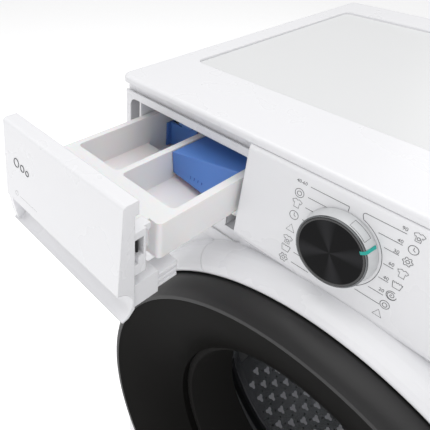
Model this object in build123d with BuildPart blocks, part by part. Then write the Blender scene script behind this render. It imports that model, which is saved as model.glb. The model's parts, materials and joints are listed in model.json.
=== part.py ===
from build123d import *
import math
import os

os.makedirs("parts", exist_ok=True)

# Front load washing machine, drawn with its detergent drawer pulled out.
# X points right as seen from the front, Y points back and Z points up.  While it is
# drawn, y = 0 is the lower front edge of the control panel.  finish() then moves each
# piece by CENTRE_SHIFT, so that the whole machine stands centred on its origin.

# ---- Driving dimensions, mm ----
HALF_W = 298.0            # half the cabinet's width
TOP_Z = 850.0             # worktop height
REAR_Y = 530.0            # rearmost face, at the water inlet's thread
DRAWER_OUT = 141.0        # how far the drawer stands out
CENTRE_SHIFT = (DRAWER_OUT - REAR_Y) / 2

SHEET = 1.5               # steel sheet thickness
WALL = 3.0                # moulded plastic wall thickness
FIT = 0.3                 # clearance between pieces that move

STEEL_Y = 20.0            # outer face of the front sheet
BACK_Y = 514.0            # outer face of the rear sheet
BASE_Z = 26.0             # underside of the base pan
PANEL_LOW_Z = 748.6       # lower front edge of the control panel
PANEL_TOP_Z = 842.0       # upper edge of the control panel
PANEL_TILT = 4.3          # the panel's face leans back by this many degrees
PANEL_FOOT_Z = 702.0      # lowest edge of the control panel moulding
PANEL_LEFT_X = -114.4     # where the panel ends beside the drawer
LINTEL_Y = 18.0           # face of the panel moulding behind the drawer front

DRUM_Z = 479.0            # height of the drum, tub and door axis
DOOR_R = 251.5            # largest radius of the door rim
HINGE_X, HINGE_Y = -257.0, -14.0
TUB_R, TUB_WALL = 256.0, 4.0
DRUM_R = 240.0
DRUM_PULLEY_R = 140.0
MOTOR_PULLEY_R = 10.0
MOTOR_X, MOTOR_Z = 110.0, 150.0
INLET_X, INLET_Z, OUTLET_Z = -250.0, 770.0, 728.0
SPOUT_X, SPOUT_Y = -195.0, 200.0
SPRING_X, SPRING_Y = 254.0, 352.0

DAMPER_BASE_X, DAMPER_BASE_Z, DAMPER_Y = 205.0, 58.0, 180.0

# Controls on the panel
KNOB_X, KNOB_Z = -16.8, 795.0
START_X, START_R = 262.0, 11.0
KEY_XS, KEY_W, KEY_H, KEY_Z = (135.0, 185.0), 30.0, 7.0, 764.0
DISPLAY_X, DISPLAY_Z, DISPLAY_W, DISPLAY_H = 160.0, 803.0, 110.0, 40.0

panel_rise = math.tan(math.radians(PANEL_TILT))
drum_axis = Axis((0, 0, DRUM_Z), (0, 1, 0))
drum_plane = Plane.XY.offset(DRUM_Z)      # sketch x is a radius, sketch y is the depth


def finish(piece, name):
    """Move a finished piece to the machine's centred frame, label it and write it."""
    piece.part.locate(Location((0, CENTRE_SHIFT, 0)))
    piece.part.label = name
    export_step(piece.part, f"parts/{name}.step")


def block(x0, x1, y0, y1, z0, z1, mode=Mode.ADD):
    """Box between two corners, in the part that is being built."""
    with Locations(((x0 + x1) / 2, (y0 + y1) / 2, (z0 + z1) / 2)):
        Box(x1 - x0, y1 - y0, z1 - z0, mode=mode)


def facing(y):
    """Upright plane at depth y that looks to the front: sketch x is X, sketch y is Z."""
    return Plane.XZ.offset(-y)


def side_plane(x):
    """Upright plane at x that looks right: sketch x is Y, sketch y is Z."""
    return Plane.YZ.offset(x)


def rod_y(x, z, radius, y0, y1, mode=Mode.ADD):
    """Round bar or bore along Y between two depths."""
    with BuildSketch(facing(y0)) as section:
        with Locations((x, z)):
            Circle(radius)
    extrude(section.sketch, amount=y0 - y1, mode=mode)


def turned(points, mode=Mode.ADD):
    """Ring about the drum's axis from a closed outline of (radius, depth) points."""
    with BuildSketch(drum_plane) as section:
        with BuildLine():
            Polyline(*points, close=True)
        make_face()
    revolve(section.sketch, axis=drum_axis, mode=mode)


def panel_y(z):
    """Depth of the control panel's tilted face at height z."""
    return (z - PANEL_LOW_Z) * panel_rise


def on_panel(x, z, lift=0.0):
    """Plane in the panel's tilted face at x and height z, looking out of the panel."""
    lean = math.radians(PANEL_TILT)
    out = Vector(0, -math.cos(lean), math.sin(lean))
    return Plane(origin=Vector(x, panel_y(z), z) + out * lift, x_dir=(1, 0, 0), z_dir=out)


# ==== Cabinet ====

# Side walls and back, one folded sheet with a shallow pressing in each side
PRESSING_DEPTH = 3.0
WALL_TOP_Z = 826.0
WALL_FRONT_Y = STEEL_Y + SHEET
with BuildPart() as cabinet_shell:
    for side in (-1, 1):
        outer, inner = side * HALF_W, side * (HALF_W - SHEET)
        x0, x1 = min(outer, inner), max(outer, inner)
        block(x0, x1, WALL_FRONT_Y, BACK_Y, BASE_Z + 12, WALL_TOP_Z)
        deep = side * (HALF_W - PRESSING_DEPTH - SHEET)
        block(min(outer, deep), max(outer, deep), 110, 430, 160, 690)
        bottom = side * (HALF_W - PRESSING_DEPTH)
        block(min(outer, bottom), max(outer, bottom), 115, 425, 165, 685, mode=Mode.SUBTRACT)
        flange = side * (HALF_W - 22)
        x0, x1 = min(outer, flange), max(outer, flange)
        block(x0, x1, WALL_FRONT_Y, WALL_FRONT_Y + SHEET, BASE_Z + 12, PANEL_FOOT_Z - 4)
        # spring bracket: a strap folded inwards near the top of the wall
        strap = side * (HALF_W - 62)
        block(min(inner, strap), max(inner, strap), SPRING_Y - 15, SPRING_Y + 15, 792, 794)
        tab = side * (HALF_W - 4)
        block(min(inner, tab), max(inner, tab), SPRING_Y - 15, SPRING_Y + 15, 762, 794)
    block(-HALF_W, HALF_W, BACK_Y - SHEET, BACK_Y, BASE_Z + 12, WALL_TOP_Z)
    with BuildSketch(facing(BACK_Y - 5)):
        with Locations((0, 440)):
            RectangleRounded(400, 560, 40)
    extrude(amount=-10, mode=Mode.SUBTRACT)
    for z in (INLET_Z, OUTLET_Z):
        rod_y(INLET_X, z, 16, BACK_Y - 5, BACK_Y + 5, mode=Mode.SUBTRACT)
finish(cabinet_shell, "cabinet_shell")

# Rear service cover: a dished plate over the opening in the back
with BuildPart() as rear_cover:
    with BuildSketch(facing(BACK_Y)):
        with Locations((0, 440)):
            RectangleRounded(430, 590, 50)
    extrude(amount=-SHEET)
    with BuildSketch(facing(BACK_Y + SHEET)):
        with Locations((0, 440)):
            RectangleRounded(380, 540, 34)
    extrude(amount=-6, taper=30)
    with BuildSketch(facing(BACK_Y)):
        with Locations((0, 440)):
            RectangleRounded(374, 534, 31)
    extrude(amount=-6, taper=30, mode=Mode.SUBTRACT)
finish(rear_cover, "rear_cover")

# Base pan with a boss for each foot
FOOT_SPOTS = [(-262, 56), (262, 56), (-262, 478), (262, 478)]
with BuildPart() as base_pan:
    block(-HALF_W + 2, HALF_W - 2, WALL_FRONT_Y + 2, BACK_Y - 2, BASE_Z, BASE_Z + 40)
    block(-HALF_W + 5, HALF_W - 5, WALL_FRONT_Y + 5, BACK_Y - 5, BASE_Z + WALL, BASE_Z + 41,
          mode=Mode.SUBTRACT)
    for x in (-130, 0, 130):
        block(x - 2, x + 2, 180, BACK_Y - 4, BASE_Z + 2, BASE_Z + 18)
    for x, y in FOOT_SPOTS:
        with Locations((x, y, BASE_Z + 20)):
            Cylinder(18, 40)
            Cylinder(5 + FIT, 60, mode=Mode.SUBTRACT)
    for side in (-1, 1):
        x = side * DAMPER_BASE_X
        for y0 in (DAMPER_Y - 22, DAMPER_Y + 17):
            block(x - 12, x + 12, y0, y0 + 5, BASE_Z + 1, DAMPER_BASE_Z + 12)
        rod_y(x, DAMPER_BASE_Z, 4, DAMPER_Y - 18, DAMPER_Y + 18)
finish(base_pan, "base_pan")

# Levelling feet: a rubber-soled pad on a threaded stud
for index, (x, y) in enumerate(FOOT_SPOTS, start=1):
    with BuildPart() as foot:
        with BuildSketch(Plane.XY):
            with Locations((x, y)):
                Circle(22)
        extrude(amount=9)
        chamfer(foot.edges().group_by(Axis.Z)[-1], 2)
        with Locations((x, y, 35)):
            Cylinder(5, 56)
    finish(foot, f"foot_{index}")

# Front sheet: door opening with a rolled collar, hook slot and filter opening
COLLAR_R = 170.0
SURROUND_R = DOOR_R + 1.7     # inner radius of the raised surround round the door
SURROUND_NOTCH_Z = 100.0      # half the height of the surround's gap at the hinge
SURROUND_BACK_Y = STEEL_Y + 0.8
SEAM = 0.4                    # gap between its two parts
LOCK_X = 222.0
FLAP_X0, FLAP_X1, FLAP_Z0, FLAP_Z1 = 165.0, 245.0, 52.0, 122.0
# Raised surround round the door, a hollow pressing that is open at the hinge; the part
# of it above the panel's foot belongs to the control panel
with BuildPart() as surround:
    with BuildSketch(drum_plane):
        with BuildLine():
            Polyline((SURROUND_R, SURROUND_BACK_Y), (SURROUND_R, -22.8), (SURROUND_R + 0.7, -24.1),
                     (SURROUND_R + 2.2, -24.7), (SURROUND_R + 4.2, -23.8), (SURROUND_R + 7, -20),
                     (SURROUND_R + 10, -14.4), (SURROUND_R + 12.4, -8.4), (SURROUND_R + 14.2, -2),
                     (SURROUND_R + 15.2, 6), (SURROUND_R + 15.5, SURROUND_BACK_Y),
                     (SURROUND_R + 14, SURROUND_BACK_Y), (SURROUND_R + 13, 0),
                     (SURROUND_R + 9, -12.5), (SURROUND_R + 3, -21.5),
                     (SURROUND_R + SHEET, -21.5), (SURROUND_R + SHEET, SURROUND_BACK_Y),
                     (SURROUND_R, SURROUND_BACK_Y))
        make_face()
    revolve(axis=drum_axis)
    block(-DOOR_R - 30, -DOOR_R + 60, -30, SURROUND_BACK_Y, DRUM_Z - SURROUND_NOTCH_Z,
          DRUM_Z + SURROUND_NOTCH_Z, mode=Mode.SUBTRACT)
surround_below = split(surround.part, bisect_by=Plane.XY.offset(PANEL_FOOT_Z - SEAM),
                       keep=Keep.BOTTOM)
surround_above = split(surround.part, bisect_by=Plane.XY.offset(PANEL_FOOT_Z), keep=Keep.TOP)

with BuildPart() as front_panel:
    add(surround_below)
    block(-HALF_W, HALF_W, STEEL_Y, STEEL_Y + SHEET, BASE_Z + 12, 722)
    rod_y(0, DRUM_Z, COLLAR_R, STEEL_Y - 1, STEEL_Y + 3, mode=Mode.SUBTRACT)
    turned([(COLLAR_R, STEEL_Y), (COLLAR_R + 1, STEEL_Y), (COLLAR_R, STEEL_Y + 14),
            (COLLAR_R - SHEET, STEEL_Y + 14), (COLLAR_R - SHEET, STEEL_Y + 1)])
    block(LOCK_X - 9, LOCK_X + 10, STEEL_Y - 1, STEEL_Y + 3, DRUM_Z - 14, DRUM_Z + 14,
          mode=Mode.SUBTRACT)
    block(FLAP_X0, FLAP_X1, STEEL_Y - 1, STEEL_Y + 3, FLAP_Z0, FLAP_Z1, mode=Mode.SUBTRACT)
    # apron under the drawer opening, notched for the drawer's guide tongues
    block(-290, -117.3, STEEL_Y, STEEL_Y + SHEET, 720, 744.4)
    for x0, x1 in ((-139.5, -117), (-274.5, -256)):
        block(x0, x1, STEEL_Y - 1, STEEL_Y + 3, 728, 745, mode=Mode.SUBTRACT)
finish(front_panel, "front_panel")

# Pump filter flap, hinged along its lower edge
FLAP_HINGE_Z = FLAP_Z0 + 3
with BuildPart() as filter_flap:
    with Locations(Location(((FLAP_X0 + FLAP_X1) / 2, STEEL_Y + 0.5, FLAP_HINGE_Z), (0, 90, 0))):
        Cylinder(1.6, FLAP_X1 - FLAP_X0 - 1.6)
    block(FLAP_X0 + 0.8, FLAP_X1 - 0.8, STEEL_Y - 0.5, STEEL_Y + 1.5, FLAP_Z0 + 0.8, FLAP_Z1 - 0.8)
    block(FLAP_X0 + 25, FLAP_X1 - 25, STEEL_Y - 1, STEEL_Y + 0.7, FLAP_Z1 - 14, FLAP_Z1 - 6,
          mode=Mode.SUBTRACT)
    block(FLAP_X0 + 10, FLAP_X0 + 14, STEEL_Y + 1, STEEL_Y + 5, FLAP_Z1 - 18, FLAP_Z1 - 4)
    block(FLAP_X1 - 14, FLAP_X1 - 10, STEEL_Y + 1, STEEL_Y + 5, FLAP_Z1 - 18, FLAP_Z1 - 4)
finish(filter_flap, "filter_flap")

# Worktop: a moulded frame with a recessed board
RECESS_X, RECESS_Y0, RECESS_Y1 = 270.0, 102.0, 452.0
WORKTOP_FRONT_Y, WORKTOP_BACK_Y = 9.0, 524.0
LIP_Z = PANEL_TOP_Z + 0.5
with BuildPart() as worktop_frame:
    block(-HALF_W, HALF_W, WORKTOP_FRONT_Y, WORKTOP_BACK_Y, LIP_Z, TOP_Z)
    corners = worktop_frame.edges().filter_by(Axis.Z)
    fillet(corners, 12)
    fillet(worktop_frame.faces().sort_by(Axis.Z)[-1].edges(), 4)
    block(-HALF_W, HALF_W, STEEL_Y + 2, WORKTOP_BACK_Y, WALL_TOP_Z + 0.5, LIP_Z)
    block(-HALF_W + 6, HALF_W - 6, STEEL_Y + 8, WORKTOP_BACK_Y - 6, WALL_TOP_Z, TOP_Z - 14,
          mode=Mode.SUBTRACT)
    with BuildSketch(Plane.XY.offset(TOP_Z + 1)):
        with Locations((0, (RECESS_Y0 + RECESS_Y1) / 2)):
            RectangleRounded(2 * RECESS_X, RECESS_Y1 - RECESS_Y0, 10)
    extrude(amount=-11, mode=Mode.SUBTRACT)
    with BuildSketch(Plane.XY.offset(TOP_Z)):
        with Locations((0, (RECESS_Y0 + RECESS_Y1) / 2)):
            RectangleRounded(2 * RECESS_X - 24, RECESS_Y1 - RECESS_Y0 - 24, 6)
    extrude(amount=-20, mode=Mode.SUBTRACT)
finish(worktop_frame, "worktop_frame")

with BuildPart() as worktop_board:
    with BuildSketch(Plane.XY.offset(TOP_Z - 10)):
        with Locations((0, (RECESS_Y0 + RECESS_Y1) / 2)):
            RectangleRounded(2 * RECESS_X - 1, RECESS_Y1 - RECESS_Y0 - 1, 9.5)
    extrude(amount=7.5)
finish(worktop_board, "worktop_board")

# Braces across the top of the cabinet, front and rear
BRACE_Z = 800.0
with BuildPart() as top_braces:
    for y0 in (30.0, 480.0):
        x0 = -105.0 if y0 < 100 else -HALF_W + SHEET
        block(x0, HALF_W - SHEET, y0, y0 + 26, BRACE_Z + 18, BRACE_Z + 20)
        block(x0, HALF_W - SHEET, y0, y0 + 2, BRACE_Z, BRACE_Z + 20)
        block(x0, HALF_W - SHEET, y0 + 24, y0 + 26, BRACE_Z, BRACE_Z + 20)
finish(top_braces, "top_braces")

# ==== Control panel ====

# Moulding: a shell with a stepped underside, and a set-back frame round the drawer
PANEL_BACK_Y = STEEL_Y - 0.3
OPENING_X0, OPENING_X1 = -291.0, -117.0
OPENING_Z0, OPENING_Z1 = 716.0, 820.0
LINTEL_TOP_Z = 828.5
with BuildPart() as control_panel:
    with BuildSketch(side_plane(PANEL_LEFT_X)):
        with BuildLine():
            top_y = panel_y(PANEL_TOP_Z - 5)
            Line((0, PANEL_LOW_Z), (top_y, PANEL_TOP_Z - 5))
            RadiusArc((top_y, PANEL_TOP_Z - 5), (top_y + 5, PANEL_TOP_Z), 5)
            Polyline((top_y + 5, PANEL_TOP_Z), (PANEL_BACK_Y, PANEL_TOP_Z),
                     (PANEL_BACK_Y, PANEL_FOOT_Z), (17.5, PANEL_FOOT_Z), (16.5, 716),
                     (14.5, 718), (13.5, 727), (8, 736), (1.5, 744), (0, PANEL_LOW_Z))
        make_face()
    extrude(amount=HALF_W - PANEL_LEFT_X)
    block(-HALF_W, PANEL_LEFT_X + 1, LINTEL_Y, PANEL_BACK_Y, PANEL_FOOT_Z, LINTEL_TOP_Z)
    add(surround_above)
    block(-HALF_W, HALF_W, PANEL_BACK_Y, STEEL_Y + 5, PANEL_FOOT_Z - 1, PANEL_LOW_Z,
          mode=Mode.SUBTRACT)
    # hollow behind the face, left open at the back
    with BuildSketch(side_plane(PANEL_LEFT_X + WALL)):
        with BuildLine():
            Polyline((WALL, PANEL_LOW_Z + 2), (panel_y(835) + WALL, 835), (PANEL_BACK_Y + 1, 835),
                     (PANEL_BACK_Y + 1, 742), (10, 742), close=True)
        make_face()
    extrude(amount=HALF_W - PANEL_LEFT_X - 2 * WALL, mode=Mode.SUBTRACT)
    with BuildSketch(facing(LINTEL_Y - 1)):
        with Locations(((OPENING_X0 + OPENING_X1) / 2, (OPENING_Z0 + OPENING_Z1) / 2)):
            RectangleRounded(OPENING_X1 - OPENING_X0, OPENING_Z1 - OPENING_Z0, 9)
    extrude(amount=-12, mode=Mode.SUBTRACT)
    # square corner for the cheek behind the drawer front
    block(-133, -116.5, LINTEL_Y - 1, STEEL_Y, 800, 812, mode=Mode.SUBTRACT)
    # holes for the knob's spindle, the keys and the display
    with BuildSketch(on_panel(KNOB_X, KNOB_Z)):
        Circle(12)
    extrude(amount=9, both=True, mode=Mode.SUBTRACT)
    with BuildSketch(on_panel(START_X, KNOB_Z)):
        Circle(START_R + 2 * FIT)
    extrude(amount=9, both=True, mode=Mode.SUBTRACT)
    for x in KEY_XS:
        with BuildSketch(on_panel(x, KEY_Z)):
            RectangleRounded(KEY_W + 4 * FIT, KEY_H + 4 * FIT, 2)
        extrude(amount=9, both=True, mode=Mode.SUBTRACT)
    with BuildSketch(on_panel(DISPLAY_X, DISPLAY_Z)):
        RectangleRounded(DISPLAY_W, DISPLAY_H, 3)
    extrude(amount=9, both=True, mode=Mode.SUBTRACT)
finish(control_panel, "control_panel")

# Dark window over the display
with BuildPart() as display_window:
    with BuildSketch(on_panel(DISPLAY_X, DISPLAY_Z)):
        RectangleRounded(DISPLAY_W - FIT, DISPLAY_H - FIT, 2.8)
    extrude(amount=-WALL)
finish(display_window, "display_window")

# Circuit board with its knob encoder, key switches and relays
BOARD_Y = 15.5
with BuildPart() as control_board:
    block(-70, 288, BOARD_Y, BOARD_Y + 1.6, 752, 826)
    block(KNOB_X - 10, KNOB_X + 10, BOARD_Y - 4, BOARD_Y, KNOB_Z - 10, KNOB_Z + 10)
    for x in KEY_XS:
        block(x - 4, x + 4, BOARD_Y - 3.5, BOARD_Y, KEY_Z - 4, KEY_Z + 4)
    block(START_X - 5, START_X + 5, BOARD_Y - 3, BOARD_Y, KNOB_Z - 5, KNOB_Z + 5)
    for x in (28, 52, 76):
        block(x, x + 16, BOARD_Y + 1.6, BOARD_Y + 10, 800, 818)
finish(control_board, "control_board")

# Programme knob: a pale conical skirt and a dark cap on a spindle
KNOB_R, KNOB_HIGH = 31.5, 14.0
with BuildPart() as knob_skirt:
    with BuildSketch(on_panel(KNOB_X, KNOB_Z, 0.6)):
        Circle(KNOB_R)
    extrude(amount=KNOB_HIGH - 2, taper=9)
    with BuildSketch(on_panel(KNOB_X, KNOB_Z, 0.6)):
        Circle(KNOB_R - 4.5)
    extrude(amount=KNOB_HIGH - 2, mode=Mode.SUBTRACT)
finish(knob_skirt, "knob_skirt")

with BuildPart() as knob_cap:
    with BuildSketch(on_panel(KNOB_X, KNOB_Z, KNOB_HIGH - 1.4)):
        Circle(KNOB_R - 2.1)
    extrude(amount=1.6)
    chamfer(knob_cap.faces().sort_by(Axis.Y)[0].edges(), 0.7)
    with BuildSketch(on_panel(KNOB_X, KNOB_Z, 1.0)):
        Circle(KNOB_R - 4.5)
    extrude(amount=KNOB_HIGH - 2.2)
    with BuildSketch(on_panel(KNOB_X, KNOB_Z, 1.0)):
        Circle(3)
    extrude(amount=-3.5)
finish(knob_cap, "knob_cap")

# Start button and option keys, standing slightly proud of the panel
KEY_LIFT = 1.5
with BuildPart() as start_button:
    with BuildSketch(on_panel(START_X, KNOB_Z, KEY_LIFT)):
        Circle(START_R)
    extrude(amount=-5)
    chamfer(start_button.faces().sort_by(Axis.Y)[0].edges(), 0.6)
finish(start_button, "start_button")

for index, x in enumerate(KEY_XS, start=1):
    with BuildPart() as option_key:
        with BuildSketch(on_panel(x, KEY_Z, KEY_LIFT)):
            RectangleRounded(KEY_W, KEY_H, 1.6)
        extrude(amount=-5)
        chamfer(option_key.faces().sort_by(Axis.Y)[0].edges(), 0.4)
    finish(option_key, f"option_key_{index}")

# ==== Detergent drawer, drawn pulled out ====
FRONT_X0, FRONT_X1 = -HALF_W + 1, PANEL_LEFT_X - 1
FRONT_BACK = LINTEL_Y - 0.5               # back face of the closed drawer's front plate
REBATE_Y = STEEL_Y + 1.5                  # back face of its upper edge, over the lintel
TRAY_X0, TRAY_X1 = -273.0, -119.0
TRAY_Y0, TRAY_Y1 = 46.0 - DRAWER_OUT, 306.0 - DRAWER_OUT
TRAY_TOP_Z, TRAY_LOW_Z, TRAY_DEEP_Z = 802.6, 766.0, 751.0
POWDER_X0, POWDER_X1, SOFTENER_X0, SOFTENER_X1 = -266.0, -203.0, -196.0, -127.0
BAY_Y0, BAY_Y1 = TRAY_Y0 + 23, TRAY_Y1 - 6
BAY_ROUND = 5.0
LIP_LOW_Z = 723.5


def out_y(y):
    """Depth in the pulled-out drawer of a point at depth y in the closed one."""
    return y - DRAWER_OUT


# Front: tilted face, finger scoop with a lip below it, cheeks and guide tongue
with BuildPart() as drawer_front:
    with BuildSketch(side_plane(FRONT_X0)):
        with BuildLine():
            high_y = panel_y(838.5)
            Line((out_y(0), 757), (out_y(high_y), 838.5))
            RadiusArc((out_y(high_y), 838.5), (out_y(high_y + 4), 842), 4)
            Polyline((out_y(high_y + 4), 842), (out_y(REBATE_Y), 842), (out_y(REBATE_Y), 829.5),
                     (out_y(FRONT_BACK), 829.5), (out_y(FRONT_BACK), 754),
                     (out_y(19), 745), (out_y(18), 732), (out_y(11), 725),
                     (out_y(5), LIP_LOW_Z), (out_y(3.5), LIP_LOW_Z + 1.5))
            Spline((out_y(3.5), LIP_LOW_Z + 1.5), (out_y(12.5), 731), (out_y(15.5), 741),
                   (out_y(10), 752), (out_y(0), 757))
        make_face()
    extrude(amount=FRONT_X1 - FRONT_X0)
    with BuildSketch(side_plane(FRONT_X0)):
        with BuildLine():
            Polyline((out_y(1.2), 756.5), (out_y(3), 738), (out_y(5.5), LIP_LOW_Z + 1),
                     (out_y(13.5), 729.5), (out_y(16.5), 744), (out_y(11), 754), close=True)
        make_face()
    extrude(amount=8)
    # cheek behind the right end, with the latch slot
    block(-131, -117.5, out_y(FRONT_BACK), out_y(31), 766, 810)
    block(-125, -116, out_y(19.2), out_y(28.4), 785, 803, mode=Mode.SUBTRACT)
    block(-122, -116, out_y(19.2), out_y(23), 777, 786, mode=Mode.SUBTRACT)
    block(-131, -120.5, out_y(31), out_y(38), 804, 810)
    # guide tongue with ribs
    block(-137, -118, out_y(FRONT_BACK), out_y(46), 730, 755)
    block(-135, -120, out_y(46), out_y(70), 733, 750)
    for z in (734.5, 740.5, 746.5):
        block(-136.5, -118.5, out_y(46), out_y(69), z, z + 2.5)
    block(-272, -258, out_y(FRONT_BACK), out_y(46), 730, 755)
    # ends set back so that the scoop enters the opening
    for x0, x1 in ((FRONT_X0 - 1, OPENING_X0 + 2 * FIT), (OPENING_X1 - 2 * FIT, FRONT_X1 + 1)):
        block(x0, x1, out_y(FRONT_BACK), out_y(30), LIP_LOW_Z, 764, mode=Mode.SUBTRACT)
finish(drawer_front, "drawer_front")

# Tray: two compartments with rounded corners, deeper towards the back
with BuildPart() as drawer_tray:
    with BuildSketch(Plane.XY.offset(TRAY_LOW_Z)):
        with Locations(((TRAY_X0 + TRAY_X1) / 2, (TRAY_Y0 + TRAY_Y1) / 2)):
            RectangleRounded(TRAY_X1 - TRAY_X0, TRAY_Y1 - TRAY_Y0, 5)
    extrude(amount=TRAY_TOP_Z - TRAY_LOW_Z)
    DEEP_Y0 = TRAY_Y0 + 110
    with BuildSketch(Plane.XY.offset(TRAY_DEEP_Z)):
        with Locations(((TRAY_X0 + TRAY_X1) / 2, (DEEP_Y0 + TRAY_Y1) / 2)):
            RectangleRounded(TRAY_X1 - TRAY_X0 - 4, TRAY_Y1 - DEEP_Y0, 7)
    extrude(amount=TRAY_LOW_Z - TRAY_DEEP_Z)
    for x0, x1 in ((POWDER_X0, POWDER_X1), (SOFTENER_X0, SOFTENER_X1)):
        with BuildSketch(Plane.XY.offset(TRAY_LOW_Z + WALL)):
            with Locations(((x0 + x1) / 2, (BAY_Y0 + BAY_Y1) / 2)):
                RectangleRounded(x1 - x0, BAY_Y1 - BAY_Y0, BAY_ROUND)
        extrude(amount=50, mode=Mode.SUBTRACT)
        with BuildSketch(Plane.XY.offset(TRAY_DEEP_Z + WALL)):
            with Locations(((x0 + x1) / 2, (DEEP_Y0 + 8 + BAY_Y1) / 2)):
                RectangleRounded(x1 - x0, BAY_Y1 - DEEP_Y0 - 8, BAY_ROUND)
        extrude(amount=50, mode=Mode.SUBTRACT)
    # bridge from the tray to the front plate, hollow underneath
    block(TRAY_X0 + 7, -131.4, out_y(FRONT_BACK), TRAY_Y0 + 4, 774, TRAY_TOP_Z)
    block(TRAY_X0 + 10, -134.4, out_y(FRONT_BACK) - 1, TRAY_Y0 - 3, 773, TRAY_TOP_Z - WALL,
          mode=Mode.SUBTRACT)
    # siphon stand-pipe in the softener compartment
    with Locations((-160, TRAY_Y1 - 40, (TRAY_DEEP_Z + 790) / 2)):
        Cylinder(6, 790 - TRAY_DEEP_Z)
        Cylinder(3.5, 792 - TRAY_DEEP_Z, mode=Mode.SUBTRACT)
finish(drawer_tray, "drawer_tray")

# Siphon hood: a cover over the back of the softener compartment
HOOD_X0, HOOD_X1 = SOFTENER_X0 + 0.8, SOFTENER_X1 - 0.8
HOOD_Y1, HOOD_LOW_Z, HOOD_TOP_Z = BAY_Y1 - 12, 776.0, 801.5
with BuildPart() as siphon_hood:
    with BuildSketch(Plane.XY.offset(HOOD_LOW_Z)):
        with BuildLine():
            Polyline((HOOD_X0, -4), (HOOD_X1, -12), (HOOD_X1, HOOD_Y1), (HOOD_X0, HOOD_Y1),
                     close=True)
        make_face()
    with BuildSketch(Plane.XY.offset(HOOD_TOP_Z)):
        with BuildLine():
            Polyline((HOOD_X0, -7), (HOOD_X1, 16), (HOOD_X1, HOOD_Y1), (HOOD_X0, HOOD_Y1),
                     close=True)
        make_face()
    loft(ruled=True)
    block(HOOD_X0 + 2.5, HOOD_X1 - 2.5, 20, HOOD_Y1 - 2.5, HOOD_LOW_Z - 1, HOOD_TOP_Z - 2.5,
          mode=Mode.SUBTRACT)
    # inner sleeve that drops over the stand-pipe
    with Locations((-160, TRAY_Y1 - 40, 785)):
        Cylinder(11, 28)
    with Locations((-160, TRAY_Y1 - 40, 783)):
        Cylinder(8, 25, mode=Mode.SUBTRACT)
finish(siphon_hood, "siphon_hood")

# Gate for liquid detergent: a plate with a grip tab across the powder compartment
GATE_Y = 58.0
with BuildPart() as liquid_gate:
    block(POWDER_X0 + 0.8, POWDER_X1 - 0.8, GATE_Y, GATE_Y + 2.5, TRAY_DEEP_Z + 5, 786)
    block(-246, -222, GATE_Y, GATE_Y + 2.5, 786, 797)
    block(-244, -224, GATE_Y - 7, GATE_Y, 793, 795.5)
    for x in (POWDER_X0 + 0.8, POWDER_X1 - 2.8):
        block(x, x + 2, GATE_Y - 6, GATE_Y + 8, TRAY_DEEP_Z + 5, 786)
finish(liquid_gate, "liquid_gate")

# ==== Detergent housing and water path ====
SUPPLY_X, SUPPLY_Z = -219.0, 788.0     # axis of the supply hose to the housing
HOUSE_Y0, HOUSE_Y1, HOUSE_LOW_Z, HOUSE_TOP_Z = PANEL_BACK_Y, 332.0, 745.0, 821.0
with BuildPart() as detergent_housing:
    block(TRAY_X0 - 4, TRAY_X1 + 4, HOUSE_Y0, HOUSE_Y1, HOUSE_LOW_Z, HOUSE_TOP_Z)
    # troughs under the floor take the drawer's guide tongues
    block(-141.5, -115.5, STEEL_Y + SHEET + FIT, 77, 726, HOUSE_LOW_Z + 1)
    block(-276.5, -254, STEEL_Y + SHEET + FIT, 53, 726, HOUSE_LOW_Z + 1)
    block(TRAY_X0 - 1.5, TRAY_X1 + 1.5, HOUSE_Y0 - 1, HOUSE_Y1 - 3, HOUSE_LOW_Z + 2.5,
          HOUSE_TOP_Z - 2.5, mode=Mode.SUBTRACT)
    for x0, x1, deep_y in ((-139.5, TRAY_X1 + 1.5, 75), (TRAY_X0 - 1.5, -256, 51)):
        block(x0, x1, HOUSE_Y0 - 1, deep_y, 728, HOUSE_LOW_Z + 3, mode=Mode.SUBTRACT)
    # outlet spigot to the tub and inlet spigot at the back
    with Locations((SPOUT_X, SPOUT_Y, HOUSE_LOW_Z - 4)):
        Cylinder(14, 10)
        Cylinder(11.5, 20, mode=Mode.SUBTRACT)
    rod_y(SUPPLY_X, SUPPLY_Z, 9, HOUSE_Y1 - 1, HOUSE_Y1 + 18)
    rod_y(SUPPLY_X, SUPPLY_Z, 6.5, HOUSE_Y1 - 5, HOUSE_Y1 + 19, mode=Mode.SUBTRACT)
finish(detergent_housing, "detergent_housing")

# Inlet valve on the back, with its G3/4 thread outside
with BuildPart() as inlet_valve:
    rod_y(INLET_X, INLET_Z, 13.2, BACK_Y - 30, REAR_Y)
    rod_y(INLET_X, INLET_Z, 9, BACK_Y - 8, REAR_Y + 1, mode=Mode.SUBTRACT)
    block(INLET_X - 18, INLET_X + 18, BACK_Y - 62, BACK_Y - 28, INLET_Z - 16, INLET_Z + 16)
    rod_y(INLET_X, INLET_Z, 20, BACK_Y, BACK_Y + 3)
    block(SUPPLY_X - 13, SUPPLY_X + 13, BACK_Y - 58, BACK_Y - 34, INLET_Z - 12, SUPPLY_Z + 10)
    rod_y(SUPPLY_X, SUPPLY_Z, 9, BACK_Y - 80, BACK_Y - 57)
finish(inlet_valve, "inlet_valve")

# Drain outlet elbow on the back
with BuildPart() as drain_outlet:
    rod_y(INLET_X, OUTLET_Z, 12, BACK_Y - 24, BACK_Y + 14)
    rod_y(INLET_X, OUTLET_Z, 18, BACK_Y, BACK_Y + 3)
    rod_y(INLET_X, OUTLET_Z, 8.5, BACK_Y - 30, BACK_Y + 15, mode=Mode.SUBTRACT)
finish(drain_outlet, "drain_outlet")

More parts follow.
